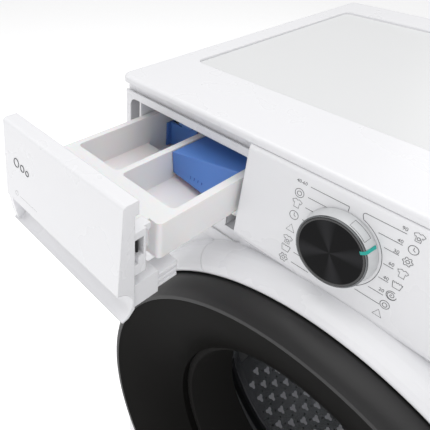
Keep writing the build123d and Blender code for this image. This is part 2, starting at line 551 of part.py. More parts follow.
# ==== Door ====
# The rim is a dark drum-shaped shell, its front dished by a glossy ring round the glass.
NOTCH_Z = 46.0
RIM_BACK_Y = 13.0
with BuildPart() as door_rim:
    with BuildSketch(drum_plane):
        with BuildLine():
            Polyline((DOOR_R - 5, RIM_BACK_Y), (DOOR_R - 3, -8), (DOOR_R, -24))
            Spline((DOOR_R, -24), (DOOR_R - 2.5, -37), (DOOR_R - 8.5, -47), (DOOR_R - 12, -50))
            Polyline((DOOR_R - 12, -50), (DOOR_R - 16, -50), (DOOR_R - 17.5, -46),
                     (DOOR_R - 8, -34), (DOOR_R - 4.5, -20), (DOOR_R - 8, RIM_BACK_Y),
                     (DOOR_R - 5, RIM_BACK_Y))
        make_face()
    revolve(axis=drum_axis)
    block(-DOOR_R - 2, -225, -30, 20, DRUM_Z - NOTCH_Z, DRUM_Z + NOTCH_Z, mode=Mode.SUBTRACT)
finish(door_rim, "door_rim")

WINDOW_R = 154.0
with BuildPart() as door_ring:
    with BuildSketch(drum_plane):
        with BuildLine():
            Line((DOOR_R - 16.2, -49.5), (DOOR_R - 17.8, -45.8))
            Spline((DOOR_R - 17.8, -45.8), (205, -36), (175, -21), (WINDOW_R + 2, -6))
            Polyline((WINDOW_R + 2, -6), (WINDOW_R + 2, -0.2), (WINDOW_R, -0.2), (WINDOW_R, -9))
            Spline((WINDOW_R, -9), (173, -24), (205, -39.5), (DOOR_R - 16.2, -49.5))
        make_face()
    revolve(axis=drum_axis)
finish(door_ring, "door_ring")

GLASS_SEAT_R = 168.0
with BuildPart() as door_glass:
    with BuildSketch(drum_plane):
        with BuildLine():
            Polyline((0, 111), (0, 116))
            Spline((0, 116), (70, 114), (124, 106), (137, 94), tangents=((1, 0), (0.15, -1)))
            Polyline((137, 94), (150, 18), (154, 6), (GLASS_SEAT_R, 6), (GLASS_SEAT_R, 0),
                     (148, 0), (145, 17), (132, 93))
            Spline((132, 93), (121, 102), (70, 109), (0, 111), tangents=((-0.15, 1), (-1, 0)))
        make_face()
    revolve(axis=drum_axis)
finish(door_glass, "door_glass")

HOOK_Y = 0.0
# Back cover of the door: holds the glass and closes the rim
with BuildPart() as door_back:
    turned([(155.5, 6.2), (235, 6.2), (240.5, RIM_BACK_Y - 0.2), (158, RIM_BACK_Y - 0.2)])
    turned([(GLASS_SEAT_R + 0.4, 7), (GLASS_SEAT_R + 0.4, -14), (GLASS_SEAT_R + 3, -17.5),
            (GLASS_SEAT_R + 3, 7)])
    block(-DOOR_R - 2, -222, -30, 20, DRUM_Z - NOTCH_Z, DRUM_Z + NOTCH_Z, mode=Mode.SUBTRACT)
    block(LOCK_X - 9, LOCK_X + 9, -5, 20, DRUM_Z - 10, DRUM_Z + 10, mode=Mode.SUBTRACT)
    # bosses and pin for the hook
    for side in (-1, 1):
        z0, z1 = sorted((DRUM_Z + side * 10, DRUM_Z + side * 15))
        block(LOCK_X - 5, LOCK_X + 5, HOOK_Y - 4, 7, z0, z1)
    with Locations((LOCK_X, HOOK_Y, DRUM_Z)):
        Cylinder(1.7, 28)
finish(door_back, "door_back")

# Hinge: bracket on the cabinet with two arms and a pin, knuckle leaf on the door
HINGE_GAP = 0.5
with BuildPart() as hinge_bracket:
    block(-286, -263.5, STEEL_Y - 3, STEEL_Y, DRUM_Z - 58, DRUM_Z + 58)
    for side in (-1, 1):
        z0, z1 = sorted((DRUM_Z + side * 30, DRUM_Z + side * 37))
        block(-272, -264, HINGE_Y - 4, STEEL_Y - 1, z0, z1)
        block(-272, HINGE_X, HINGE_Y - 4, HINGE_Y + 4, z0, z1)
        with Locations((HINGE_X, HINGE_Y, (z0 + z1) / 2)):
            Cylinder(6, z1 - z0)
    with Locations((HINGE_X, HINGE_Y, DRUM_Z)):
        Cylinder(3, 74)
finish(hinge_bracket, "hinge_bracket")

with BuildPart() as hinge_leaf:
    with BuildSketch(Plane.XY.offset(DRUM_Z - 30 + HINGE_GAP)):
        with Locations((HINGE_X, HINGE_Y)):
            Circle(6)
        with BuildLine():
            Polyline((HINGE_X, HINGE_Y - 5), (-221.5, HINGE_Y - 5), (-221.5, 4), (-226, 4),
                     (-226, HINGE_Y + 3), (HINGE_X, HINGE_Y + 3), close=True)
        make_face()
        with Locations((HINGE_X, HINGE_Y)):
            Circle(3 + FIT, mode=Mode.SUBTRACT)
    extrude(amount=60 - 2 * HINGE_GAP)
    block(-226, -205, 0, 6, DRUM_Z - 40, DRUM_Z + 40)
finish(hinge_leaf, "hinge_leaf")

# Door hook: a hooked tongue on an upright pin in the door's back
with BuildPart() as door_hook:
    with BuildSketch(Plane.XY.offset(DRUM_Z - 7)):
        with BuildLine():
            Polyline((LOCK_X - 3, HOOK_Y - 3), (LOCK_X + 3, HOOK_Y - 3), (LOCK_X + 3, 34),
                     (LOCK_X + 7, 36), (LOCK_X + 6, 40), (LOCK_X, 46), (LOCK_X - 3, 46), close=True)
        make_face()
        with Locations((LOCK_X, HOOK_Y)):
            Circle(2, mode=Mode.SUBTRACT)
    extrude(amount=14)
finish(door_hook, "door_hook")

# Door lock behind the front sheet, with a pocket for the hook
with BuildPart() as door_lock:
    block(LOCK_X - 17, LOCK_X + 28, STEEL_Y + SHEET, 62, DRUM_Z - 34, DRUM_Z + 34)
    block(LOCK_X - 11, LOCK_X + 13, STEEL_Y, 54, DRUM_Z - 11, DRUM_Z + 11, mode=Mode.SUBTRACT)
    block(LOCK_X - 8, LOCK_X + 8, 56, 70, DRUM_Z + 12, DRUM_Z + 30)
finish(door_lock, "door_lock")

# Door gasket: bellows between the sheet's collar and the tub's mouth, with a sealing lip
MOUTH_R = 170.0
with BuildPart() as door_gasket:
    turned([(COLLAR_R + 0.5, 27), (COLLAR_R + 4, 27), (COLLAR_R + 4, 40), (186, 46), (186, 62),
            (MOUTH_R + 5, 70), (MOUTH_R + 5, 85.6), (MOUTH_R + 1.2, 85.6), (MOUTH_R + 1.2, 68),
            (182.5, 60), (182.5, 48), (COLLAR_R - 1, 43), (148.5, 52), (146.2, 49),
            (COLLAR_R - 3, 38.5), (COLLAR_R + 0.5, 38.5)])
finish(door_gasket, "door_gasket")

# ==== Tub group: hangs on two springs and rests on two dampers ====
TUB_FRONT_Y, TUB_SPLIT_Y, TUB_BACK_Y = 86.0, 250.0, 415.0
SUMP_X, SUMP_Z0, SUMP_Y0, SUMP_Y1 = 62.0, 196.0, 262.0, 396.0
HEATER_X, HEATER_Z = 24.0, 208.0
SUMP_PIPE_X, SUMP_PIPE_Y = -30.0, 300.0
LUG_X, LUG_Z = 150.0, 258.0
SPRING_LOW_Z = 604.0
TUB_SPOUT_Z = 680.0

with BuildPart() as tub_front:
    turned([(MOUTH_R - 2, 76), (MOUTH_R + 1, 76), (MOUTH_R + 1, TUB_FRONT_Y),
            (TUB_R - 8, TUB_FRONT_Y), (TUB_R, TUB_FRONT_Y + 8), (TUB_R, TUB_SPLIT_Y - 6),
            (TUB_R + 4, TUB_SPLIT_Y - 6), (TUB_R + 4, TUB_SPLIT_Y), (TUB_R - TUB_WALL, TUB_SPLIT_Y),
            (TUB_R - TUB_WALL, TUB_FRONT_Y + 10), (TUB_R - 10, TUB_FRONT_Y + 4),
            (MOUTH_R - 2, TUB_FRONT_Y + 4)])
    # damper lugs
    for side in (-1, 1):
        x = side * LUG_X
        for y0 in (DAMPER_Y - 17, DAMPER_Y + 12):
            with BuildSketch(facing(y0 + 5)):
                with BuildLine():
                    Polyline((x - side * 14, 285), (x + side * 30, 280), (x + side * 12, LUG_Z - 12),
                             (x - side * 12, LUG_Z - 12), close=True)
                make_face()
            extrude(amount=5)
        rod_y(x, LUG_Z - 5, 4, DAMPER_Y - 17, DAMPER_Y + 17)
    # filling spigot below the detergent housing
    with Locations((SPOUT_X, SPOUT_Y, TUB_SPOUT_Z - 20)):
        Cylinder(14, 50)
    with Locations((SPOUT_X, SPOUT_Y, TUB_SPOUT_Z - 20)):
        Cylinder(11.5, 52, mode=Mode.SUBTRACT)
    rod_y(0, DRUM_Z, TUB_R - TUB_WALL, TUB_FRONT_Y + 12, TUB_SPLIT_Y, mode=Mode.SUBTRACT)
finish(tub_front, "tub_front")

with BuildPart() as tub_rear:
    turned([(TUB_R - TUB_WALL, TUB_SPLIT_Y), (TUB_R + 4, TUB_SPLIT_Y), (TUB_R + 4, TUB_SPLIT_Y + 6),
            (TUB_R, TUB_SPLIT_Y + 6), (TUB_R, TUB_BACK_Y), (60, TUB_BACK_Y), (56, TUB_BACK_Y + 28),
            (26, TUB_BACK_Y + 28), (26, TUB_BACK_Y - 5), (TUB_R - TUB_WALL, TUB_BACK_Y - 5)])
    # radial stiffening ribs on the back
    for k in range(12):
        with BuildSketch(facing(TUB_BACK_Y)):
            with Locations((0, DRUM_Z)):
                with PolarLocations(150, 1, start_angle=15 + 30 * k):
                    Rectangle(190, 4)
        extrude(amount=-12)
    # sump in the bottom, open to the tub, with the heater's seat in its back
    block(-SUMP_X, SUMP_X, SUMP_Y0, SUMP_Y1, SUMP_Z0, 250)
    rod_y(0, DRUM_Z, TUB_R - TUB_WALL, SUMP_Y0 - 1, SUMP_Y1 + 1, mode=Mode.SUBTRACT)
    block(-SUMP_X + 3, SUMP_X - 3, SUMP_Y0 + 3, SUMP_Y1 - 3, SUMP_Z0 + 3, 251, mode=Mode.SUBTRACT)
    with Locations((SUMP_PIPE_X, SUMP_PIPE_Y, SUMP_Z0 - 7)):
        Cylinder(24, 16)
    with Locations((SUMP_PIPE_X, SUMP_PIPE_Y, SUMP_Z0 - 5)):
        Cylinder(21, 24, mode=Mode.SUBTRACT)
    for x in (-HEATER_X, HEATER_X):
        rod_y(x, HEATER_Z, 4 + FIT, SUMP_Y1 - 5, SUMP_Y1 + 1, mode=Mode.SUBTRACT)
    # spring lugs and motor lugs
    for side in (-1, 1):
        x0, x1 = sorted((side * 222, side * (SPRING_X + 8)))
        block(x0, x1, SPRING_Y - 12, SPRING_Y + 12, SPRING_LOW_Z - 14, SPRING_LOW_Z - 6)
    for y0 in (275.0, 375.0):
        block(MOTOR_X - 14, MOTOR_X + 14, y0, y0 + 10, MOTOR_Z + 58.4, 252)
    rod_y(0, DRUM_Z, TUB_R - TUB_WALL, TUB_SPLIT_Y + 0.1, TUB_BACK_Y - 5.1, mode=Mode.SUBTRACT)
finish(tub_rear, "tub_rear")

# Concrete counterweights: one above the drum, one round the lower half of the mouth
with BuildPart() as counterweights:
    with BuildSketch(facing(105)):
        Polygon((-60, 792), (190, 792), (232, 750), (232, 640), (-60, 640), align=None)
        with Locations((0, DRUM_Z)):
            Circle(TUB_R + 0.3, mode=Mode.SUBTRACT)
    extrude(amount=-130)
    with BuildSketch(facing(64)):
        with Locations((0, DRUM_Z)):
            Circle(TUB_R - 10)
            Circle(192, mode=Mode.SUBTRACT)
            Rectangle(600, 600, align=(Align.CENTER, Align.MIN), mode=Mode.SUBTRACT)
    extrude(amount=64 - TUB_FRONT_Y + 0.2)
finish(counterweights, "counterweights")

# Heater: a hairpin element through the sump's back wall
with BuildPart() as heater:
    for x in (-HEATER_X, HEATER_X):
        rod_y(x, HEATER_Z, 4, 300, SUMP_Y1 + 14)
    block(-HEATER_X - 4, HEATER_X + 4, 292, 300.5, HEATER_Z - 4, HEATER_Z + 4)
    block(-HEATER_X - 8, HEATER_X + 8, SUMP_Y1 + 0.2, SUMP_Y1 + 6, HEATER_Z - 8, HEATER_Z + 10)
finish(heater, "heater")

# Motor below the tub, with its pulley, and the belt to the drum pulley
BELT_Y0, BELT_Y1 = 458.0, 468.0
with BuildPart() as drive_motor:
    rod_y(MOTOR_X, MOTOR_Z, 58, 262, 400)
    rod_y(MOTOR_X, MOTOR_Z, 46, 400, 412)
    rod_y(MOTOR_X, MOTOR_Z, 16, 412, 424)
    for k in range(8):
        angle = math.radians(45 * k + 22)
        rod_y(MOTOR_X + 36 * math.cos(angle), MOTOR_Z + 36 * math.sin(angle), 5, 396, 413,
              mode=Mode.SUBTRACT)
    rod_y(MOTOR_X, MOTOR_Z, 7 + FIT, 410, 426, mode=Mode.SUBTRACT)
finish(drive_motor, "drive_motor")

with BuildPart() as motor_pulley:
    rod_y(MOTOR_X, MOTOR_Z, 7, 412, BELT_Y1 + 4)
    rod_y(MOTOR_X, MOTOR_Z, MOTOR_PULLEY_R, BELT_Y0 - 2, BELT_Y1 + 2)
    rod_y(MOTOR_X, MOTOR_Z, MOTOR_PULLEY_R + 4, BELT_Y0 - 4, BELT_Y0 - 2)
finish(motor_pulley, "motor_pulley")

with BuildPart() as drive_belt:
    with BuildSketch(facing(BELT_Y0)):
        with Locations((0, DRUM_Z)):
            Circle(DRUM_PULLEY_R + 3)
        with Locations((MOTOR_X, MOTOR_Z)):
            Circle(MOTOR_PULLEY_R + 3)
        make_hull()
    extrude(amount=BELT_Y0 - BELT_Y1)
    with BuildSketch(facing(BELT_Y0 - 1)):
        with Locations((0, DRUM_Z)):
            Circle(DRUM_PULLEY_R + 0.4)
        with Locations((MOTOR_X, MOTOR_Z)):
            Circle(MOTOR_PULLEY_R + 0.4)
        make_hull()
    extrude(amount=BELT_Y0 - BELT_Y1 - 2, mode=Mode.SUBTRACT)
finish(drive_belt, "drive_belt")

# Two ball bearings in the tub's hub
with BuildPart() as drum_bearings:
    for y0 in (TUB_BACK_Y - 3, TUB_BACK_Y + 14):
        rod_y(0, DRUM_Z, 25.8, y0, y0 + 12)
        rod_y(0, DRUM_Z, 15 + FIT, y0 - 1, y0 + 13, mode=Mode.SUBTRACT)
finish(drum_bearings, "drum_bearings")

# ==== Drum group ====
DRUM_Y0, DRUM_Y1 = 102.0, 392.0
with BuildPart() as drum:
    with BuildSketch(drum_plane):
        with BuildLine():
            Polyline((164, DRUM_Y0 + 10), (166, DRUM_Y0 + 1), (172, DRUM_Y0 - 2), (180, DRUM_Y0 + 2),
                     (DRUM_R - 8, DRUM_Y0), (DRUM_R, DRUM_Y0 + 8), (DRUM_R, DRUM_Y1),
                     (0, DRUM_Y1), (0, DRUM_Y1 - 2), (DRUM_R - 2, DRUM_Y1 - 2),
                     (DRUM_R - 2, DRUM_Y0 + 9), (DRUM_R - 9, DRUM_Y0 + 2), (181, DRUM_Y0 + 4),
                     (172, DRUM_Y0), (168, DRUM_Y0 + 2), (166, DRUM_Y0 + 10), close=True)
        make_face()
    revolve(axis=drum_axis)
finish(drum, "drum")

# Three lifters inside the drum
with BuildPart() as drum_lifters:
    for angle in (90, 210, 330):
        with BuildSketch(facing(DRUM_Y0 + 20)):
            with Locations((0, DRUM_Z)):
                with PolarLocations(DRUM_R - 4.5, 1, start_angle=angle):
                    Polygon((-48, -9), (-48, 9), (-6, 22), (0, 26), (0, -26), (-6, -22), align=None)
        extrude(amount=-(DRUM_Y1 - DRUM_Y0 - 28))
    crests = [edge for edge in drum_lifters.edges().filter_by(Axis.Y)
              if math.hypot(edge.center().X, edge.center().Z - DRUM_Z) < DRUM_R - 50]
    fillet(crests, 7)
finish(drum_lifters, "drum_lifters")

# Spider: three arms that carry the drum, and its shaft
with BuildPart() as drum_spider:
    rod_y(0, DRUM_Z, 42, DRUM_Y1, DRUM_Y1 + 16)
    rod_y(0, DRUM_Z, 15, DRUM_Y1 + 16, BELT_Y1 + 6)
    for angle in (90, 210, 330):
        with BuildSketch(facing(DRUM_Y1 + 0.1)):
            with Locations((0, DRUM_Z)):
                with PolarLocations(0, 1, start_angle=angle):
                    Polygon((0, -24), (0, 24), (228, 13), (228, -13), align=None)
        extrude(amount=-11)
finish(drum_spider, "drum_spider")

# Drum pulley: a spoked wheel on the end of the shaft
with BuildPart() as drum_pulley:
    with BuildSketch(facing(BELT_Y0 - 1)):
        with Locations((0, DRUM_Z)):
            Circle(DRUM_PULLEY_R)
            Circle(15, mode=Mode.SUBTRACT)
            with PolarLocations(80, 6):
                Circle(30, mode=Mode.SUBTRACT)
    extrude(amount=BELT_Y0 - BELT_Y1 - 2)
finish(drum_pulley, "drum_pulley")

# ==== Suspension ====
SPRING_TOP_Z = 784.0
with BuildPart() as tub_springs:
    for side in (-1, 1):
        with Locations((side * SPRING_X, SPRING_Y, (SPRING_LOW_Z + SPRING_TOP_Z) / 2)):
            Cylinder(11, SPRING_TOP_Z - SPRING_LOW_Z)
        with Locations((side * SPRING_X, SPRING_Y, SPRING_TOP_Z + 3.9)):
            Cylinder(3, 8)
        with Locations((side * SPRING_X, SPRING_Y, SPRING_LOW_Z - 3)):
            Cylinder(3, 6)
finish(tub_springs, "tub_springs")

# Friction dampers: a cylinder on the base pan and a rod on the tub's lug
damper_run = math.dist((DAMPER_BASE_X, DAMPER_BASE_Z), (LUG_X, LUG_Z - 5))
for side, word in ((-1, "left"), (1, "right")):
    foot_point = Vector(side * DAMPER_BASE_X, DAMPER_Y, DAMPER_BASE_Z)
    head_point = Vector(side * LUG_X, DAMPER_Y, LUG_Z - 5)
    along = (head_point - foot_point).normalized()
    with BuildPart() as damper_cylinder:
        with BuildSketch(Plane(origin=foot_point + along * 9, z_dir=along, x_dir=(0, 1, 0))):
            Circle(16)
        extrude(amount=112)
        with BuildSketch(Plane(origin=foot_point + along * 16, z_dir=along, x_dir=(0, 1, 0))):
            Circle(9)
        extrude(amount=110, mode=Mode.SUBTRACT)
        rod_y(side * DAMPER_BASE_X, DAMPER_BASE_Z, 11, DAMPER_Y - 14, DAMPER_Y + 14)
        rod_y(side * DAMPER_BASE_X, DAMPER_BASE_Z, 4 + FIT, DAMPER_Y - 15, DAMPER_Y + 15,
              mode=Mode.SUBTRACT)
    finish(damper_cylinder, f"damper_cylinder_{word}")
    with BuildPart() as damper_rod:
        with BuildSketch(Plane(origin=foot_point + along * 50, z_dir=along, x_dir=(0, 1, 0))):
            Circle(8.5)
        extrude(amount=damper_run - 50 - 8)
        rod_y(head_point.X, head_point.Z, 10, DAMPER_Y - 11.5, DAMPER_Y + 11.5)
        rod_y(head_point.X, head_point.Z, 4 + FIT, DAMPER_Y - 12, DAMPER_Y + 12,
              mode=Mode.SUBTRACT)
    finish(damper_rod, f"damper_rod_{word}")

# ==== Drain pump ====
PUMP_X, PUMP_Z = 205.0, 86.0
DELIVERY_Y = 106.0
with BuildPart() as pump_body:
    rod_y(PUMP_X, PUMP_Z, 34, 46, 122)
    rod_y(PUMP_X, PUMP_Z, 38, 46, 52)
    rod_y(PUMP_X, PUMP_Z, 30, 44, 119, mode=Mode.SUBTRACT)
    rod_y(PUMP_X, PUMP_Z, 24, 122, 154)
    rod_y(PUMP_X, PUMP_Z, 3, 112, 121)
    block(PUMP_X - 36, PUMP_X + 36, 60, 70, BASE_Z + WALL, PUMP_Z - 30)
    block(PUMP_X - 24, PUMP_X + 24, 140, 150, BASE_Z + WALL, PUMP_Z - 20)
    with Locations(Location((PUMP_X - 40, 90, PUMP_Z + 8), (0, 90, 0))):
        Cylinder(19, 30)
    with Locations(Location((PUMP_X - 44, 90, PUMP_Z + 8), (0, 90, 0))):
        Cylinder(16.5, 40, mode=Mode.SUBTRACT)
    # delivery spigot on top
    with Locations((PUMP_X, DELIVERY_Y, 129)):
        Cylinder(9, 24)
        Cylinder(6.5, 30, mode=Mode.SUBTRACT)
finish(pump_body, "pump_body")

with BuildPart() as pump_impeller:
    rod_y(PUMP_X, PUMP_Z, 7, 104, 116)
    rod_y(PUMP_X, PUMP_Z, 3 + FIT, 103, 117, mode=Mode.SUBTRACT)
    for k in range(4):
        with BuildSketch(facing(104)):
            with Locations((PUMP_X, PUMP_Z)):
                with PolarLocations(14, 1, start_angle=90 * k):
                    Rectangle(17, 2)
        extrude(amount=-12)
finish(pump_impeller, "pump_impeller")

# Filter: a screwed plug with a grip bar and a short lint basket
with BuildPart() as filter_plug:
    rod_y(PUMP_X, PUMP_Z, 29.5, 38, 56)
    rod_y(PUMP_X, PUMP_Z, 33, 38, 45.5)
    block(PUMP_X - 26, PUMP_X + 26, 27, 39, PUMP_Z - 4, PUMP_Z + 4)
    rod_y(PUMP_X, PUMP_Z, 24, 56, 90)
    rod_y(PUMP_X, PUMP_Z, 21.5, 58, 91, mode=Mode.SUBTRACT)
    block(PUMP_X - 3, PUMP_X + 3, 62, 86, PUMP_Z - 30, PUMP_Z + 30, mode=Mode.SUBTRACT)
    block(PUMP_X - 30, PUMP_X + 30, 62, 86, PUMP_Z - 3, PUMP_Z + 3, mode=Mode.SUBTRACT)
finish(filter_plug, "filter_plug")

# ==== Hoses inside the cabinet ====
HOSE_WALL = 2.5


def hose_between(points, bends, radius):
    """Tube of the given outer radius along straight runs joined by arcs."""
    with BuildPart() as tube:
        with BuildLine() as route:
            FilletPolyline(*points, radius=bends)
        with BuildSketch(Plane(origin=route.line @ 0, z_dir=route.line % 0)):
            Circle(radius)
            Circle(radius - HOSE_WALL, mode=Mode.SUBTRACT)
        sweep()
    return tube


# Housing to tub: a short bellows over the two spigots
with BuildPart() as fill_hose:
    hose_top, hose_foot = HOUSE_LOW_Z - 1, TUB_SPOUT_Z - 12
    with Locations((SPOUT_X, SPOUT_Y, (hose_top + hose_foot) / 2)):
        Cylinder(17, hose_top - hose_foot)
        Cylinder(14.4, hose_top - hose_foot + 2, mode=Mode.SUBTRACT)
finish(fill_hose, "fill_hose")

# Sump to pump
sump_hose = hose_between(
    [(SUMP_PIPE_X, SUMP_PIPE_Y, SUMP_Z0 - 2), (SUMP_PIPE_X, SUMP_PIPE_Y, 120),
     (70, 90, PUMP_Z + 8), (PUMP_X - 42, 90, PUMP_Z + 8)], 45, 27)
finish(sump_hose, "sump_hose")

# Drain hose: from the pump up behind the tub and across to the outlet
drain_run = [(PUMP_X, DELIVERY_Y, 127), (PUMP_X, DELIVERY_Y, 178), (262, 250, 200),
             (269, 468, 235), (269, 468, 640), (190, 474, 722), (-150, 474, 730),
             (INLET_X, 440, OUTLET_Z), (INLET_X, BACK_Y - 24.5, OUTLET_Z)]
with BuildPart() as inner_hoses:
    with BuildLine() as drain_route:
        FilletPolyline(*drain_run, radius=28)
    with BuildSketch(Plane(origin=drain_run[0], z_dir=(0, 0, 1))) as drain_section:
        Circle(12)
        Circle(9.4, mode=Mode.SUBTRACT)
    sweep(drain_section.sketch, path=drain_route.line)
    # supply hose from the valve to the housing
    rod_y(SUPPLY_X, SUPPLY_Z, 12, HOUSE_Y1 + 4, BACK_Y - 66)
    rod_y(SUPPLY_X, SUPPLY_Z, 9.4, HOUSE_Y1 + 3, BACK_Y - 65, mode=Mode.SUBTRACT)
finish(inner_hoses, "inner_hoses")

# ==== Fixings: screws in the back and the hinge, foot lock nuts, transit bolt caps ====
with BuildPart() as cabinet_fixings:
    for x in (-200, 0, 200):
        for z in (155, 725):
            rod_y(x, z, 5, BACK_Y + SHEET, BACK_Y + SHEET + 2.5)
    for x in (-232, 232):
        for z in (190, 690):
            rod_y(x, z, 14, BACK_Y, BACK_Y + 5)
    for z in (-50, 50):
        rod_y(-275, DRUM_Z + z, 5, STEEL_Y - 5.5, STEEL_Y - 3)
    for x, y in FOOT_SPOTS:
        with BuildSketch(Plane.XY.offset(BASE_Z - 6)):
            with Locations((x, y)):
                RegularPolygon(9, 6)
                Circle(5 + FIT, mode=Mode.SUBTRACT)
        extrude(amount=5.8)
finish(cabinet_fixings, "cabinet_fixings")
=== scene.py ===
import bmesh
import bpy
import json
import math
from mathutils import Matrix, Vector


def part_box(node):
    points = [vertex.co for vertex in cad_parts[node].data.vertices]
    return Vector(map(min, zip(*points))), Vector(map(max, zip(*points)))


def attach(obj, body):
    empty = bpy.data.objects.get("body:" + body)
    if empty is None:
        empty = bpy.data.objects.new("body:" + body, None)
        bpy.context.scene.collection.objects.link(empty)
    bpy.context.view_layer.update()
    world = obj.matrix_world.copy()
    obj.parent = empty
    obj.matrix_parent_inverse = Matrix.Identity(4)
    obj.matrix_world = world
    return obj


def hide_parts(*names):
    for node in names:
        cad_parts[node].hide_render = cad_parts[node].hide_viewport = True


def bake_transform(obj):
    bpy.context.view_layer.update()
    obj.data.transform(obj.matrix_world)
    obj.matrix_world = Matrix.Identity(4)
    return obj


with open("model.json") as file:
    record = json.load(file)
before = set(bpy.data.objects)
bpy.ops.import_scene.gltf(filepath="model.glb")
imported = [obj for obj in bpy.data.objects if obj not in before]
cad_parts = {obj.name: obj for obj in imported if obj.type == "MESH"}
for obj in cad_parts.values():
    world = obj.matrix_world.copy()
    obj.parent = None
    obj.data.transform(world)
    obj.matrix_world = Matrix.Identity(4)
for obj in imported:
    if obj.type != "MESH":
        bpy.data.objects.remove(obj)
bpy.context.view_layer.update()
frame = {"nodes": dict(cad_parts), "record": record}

MM = 0.001

# ---- Places read from the CAD frame ----
front_low, front_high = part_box("drawer_front")
DRAWER_OUT = 141 * MM                     # the drawer is drawn out this far at rest
PANEL_Y = front_low.y + DRAWER_OUT        # depth of the panel's lower front edge
PANEL_EDGE_Z = 748.6 * MM                 # height of that edge
PANEL_TILT = math.radians(4.3)
drum_low, drum_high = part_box("drum")
DRUM_X = (drum_low.x + drum_high.x) / 2
DRUM_Z = (drum_low.z + drum_high.z) / 2
DRUM_R = (drum_high.x - drum_low.x) / 2
knob_low, knob_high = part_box("knob_skirt")
KNOB_X = (knob_low.x + knob_high.x) / 2
KNOB_Z = 795 * MM
KNOB_R = (knob_high.x - knob_low.x) / 2


# ---- Materials ----
def shader(name, color, rough=0.4, metal=0.0, grain=0.0, grain_scale=900.0, shade=0.0,
           shade_scale=6.0, rough_spread=0.0, edge=0.0, **sockets):
    """Principled material with fine surface grain, soft colour drift and softened edges."""
    mat = bpy.data.materials.new(name)
    mat.use_nodes = True
    nodes, links = mat.node_tree.nodes, mat.node_tree.links
    principled = nodes["Principled BSDF"]
    principled.inputs["Base Color"].default_value = (*color, 1)
    principled.inputs["Roughness"].default_value = rough
    principled.inputs["Metallic"].default_value = metal
    for socket, value in sockets.items():
        principled.inputs[socket.replace("_", " ")].default_value = value
    place = nodes.new("ShaderNodeTexCoord")
    normal = None
    if edge:
        bevel = nodes.new("ShaderNodeBevel")
        bevel.samples = 6
        bevel.inputs["Radius"].default_value = edge * MM
        normal = bevel.outputs["Normal"]
    if grain:
        noise = nodes.new("ShaderNodeTexNoise")
        noise.inputs["Scale"].default_value = grain_scale
        noise.inputs["Detail"].default_value = 3
        links.new(place.outputs["Object"], noise.inputs["Vector"])
        bump = nodes.new("ShaderNodeBump")
        bump.inputs["Strength"].default_value = grain
        bump.inputs["Distance"].default_value = 0.2 * MM
        links.new(noise.outputs["Fac"], bump.inputs["Height"])
        if normal:
            links.new(normal, bump.inputs["Normal"])
        normal = bump.outputs["Normal"]
    if normal:
        links.new(normal, principled.inputs["Normal"])
    if shade:
        drift = nodes.new("ShaderNodeTexNoise")
        drift.inputs["Scale"].default_value = shade_scale
        drift.inputs["Detail"].default_value = 2
        links.new(place.outputs["Object"], drift.inputs["Vector"])
        ramp = nodes.new("ShaderNodeValToRGB")
        ramp.color_ramp.elements[0].position = 0.3
        ramp.color_ramp.elements[1].position = 0.7
        ramp.color_ramp.elements[0].color = (*[c * (1 - shade) for c in color], 1)
        ramp.color_ramp.elements[1].color = (*[min(1, c * (1 + shade)) for c in color], 1)
        links.new(drift.outputs["Fac"], ramp.inputs["Fac"])
        links.new(ramp.outputs["Color"], principled.inputs["Base Color"])
    if rough_spread:
        smudge = nodes.new("ShaderNodeTexNoise")
        smudge.inputs["Scale"].default_value = 14
        smudge.inputs["Detail"].default_value = 4
        links.new(place.outputs["Object"], smudge.inputs["Vector"])
        span = nodes.new("ShaderNodeMapRange")
        span.inputs["To Min"].default_value = rough - rough_spread
        span.inputs["To Max"].default_value = rough + rough_spread
        links.new(smudge.outputs["Fac"], span.inputs["Value"])
        links.new(span.outputs["Result"], principled.inputs["Roughness"])
    return mat


white_steel = shader("enamel_white", (0.81, 0.81, 0.83), 0.24, grain=0.03, grain_scale=500,
                     rough_spread=0.03, edge=0.8, Coat_Weight=0.4, Coat_Roughness=0.08)
white_plastic = shader("moulded_white", (0.81, 0.81, 0.83), 0.28, grain=0.06, grain_scale=1500,
                       rough_spread=0.04, edge=1.2, Coat_Weight=0.15, Coat_Roughness=0.2)
board_white = shader("worktop_laminate", (0.72, 0.725, 0.73), 0.3, grain=0.1, grain_scale=1300,
                     rough_spread=0.05, edge=0.8)
tray_plastic = shader("tray_translucent", (0.79, 0.79, 0.795), 0.35, grain=0.08, edge=1.0,
                      grain_scale=1200, rough_spread=0.05, Subsurface_Weight=0.25,
                      Subsurface_Scale=0.008)
blue_plastic = shader("insert_blue", (0.10, 0.23, 0.60), 0.32, grain=0.06, edge=1.5,
                      grain_scale=1200, rough_spread=0.05, Subsurface_Weight=0.2,
                      Subsurface_Scale=0.006)
rim_black = shader("rim_satin_black", (0.019, 0.0185, 0.019), 0.4, grain=0.12,
                   grain_scale=1600, rough_spread=0.05, edge=0.8, IOR=1.38)
# Painted light: the bowl's dark is painted lighter than the ring's so it matches the lit ring
# despite the shade in the bowl
bowl_black_painted_lighter = shader("bowl_dark_painted_lighter", (0.019, 0.0185, 0.0180), 0.5, grain=0.04, grain_scale=1400,
                    rough_spread=0.04, IOR=1.06)
ring_black = shader("ring_dark", (0.0085, 0.0082, 0.0078), 0.38, grain=0.04, grain_scale=1400,
                    rough_spread=0.04, edge=0.6, IOR=1.06)
glass_dark = shader("glass_smoked", (0.010, 0.010, 0.011), 0.08, rough_spread=0.01,
                    Alpha=0.16, IOR=1.06)
window_black = shader("display_black", (0.006, 0.006, 0.007), 0.08, rough_spread=0.02, edge=0.4,
                      Coat_Weight=0.6)
knob_silver = shader("knob_satin_silver", (0.62, 0.63, 0.64), 0.32, metal=0.25, grain=0.05,
                     rough_spread=0.04, edge=0.5)
inner_grey = shader("tub_grey", (0.42, 0.43, 0.44), 0.55, grain=0.2, grain_scale=700, shade=0.05,
                    edge=1.5)
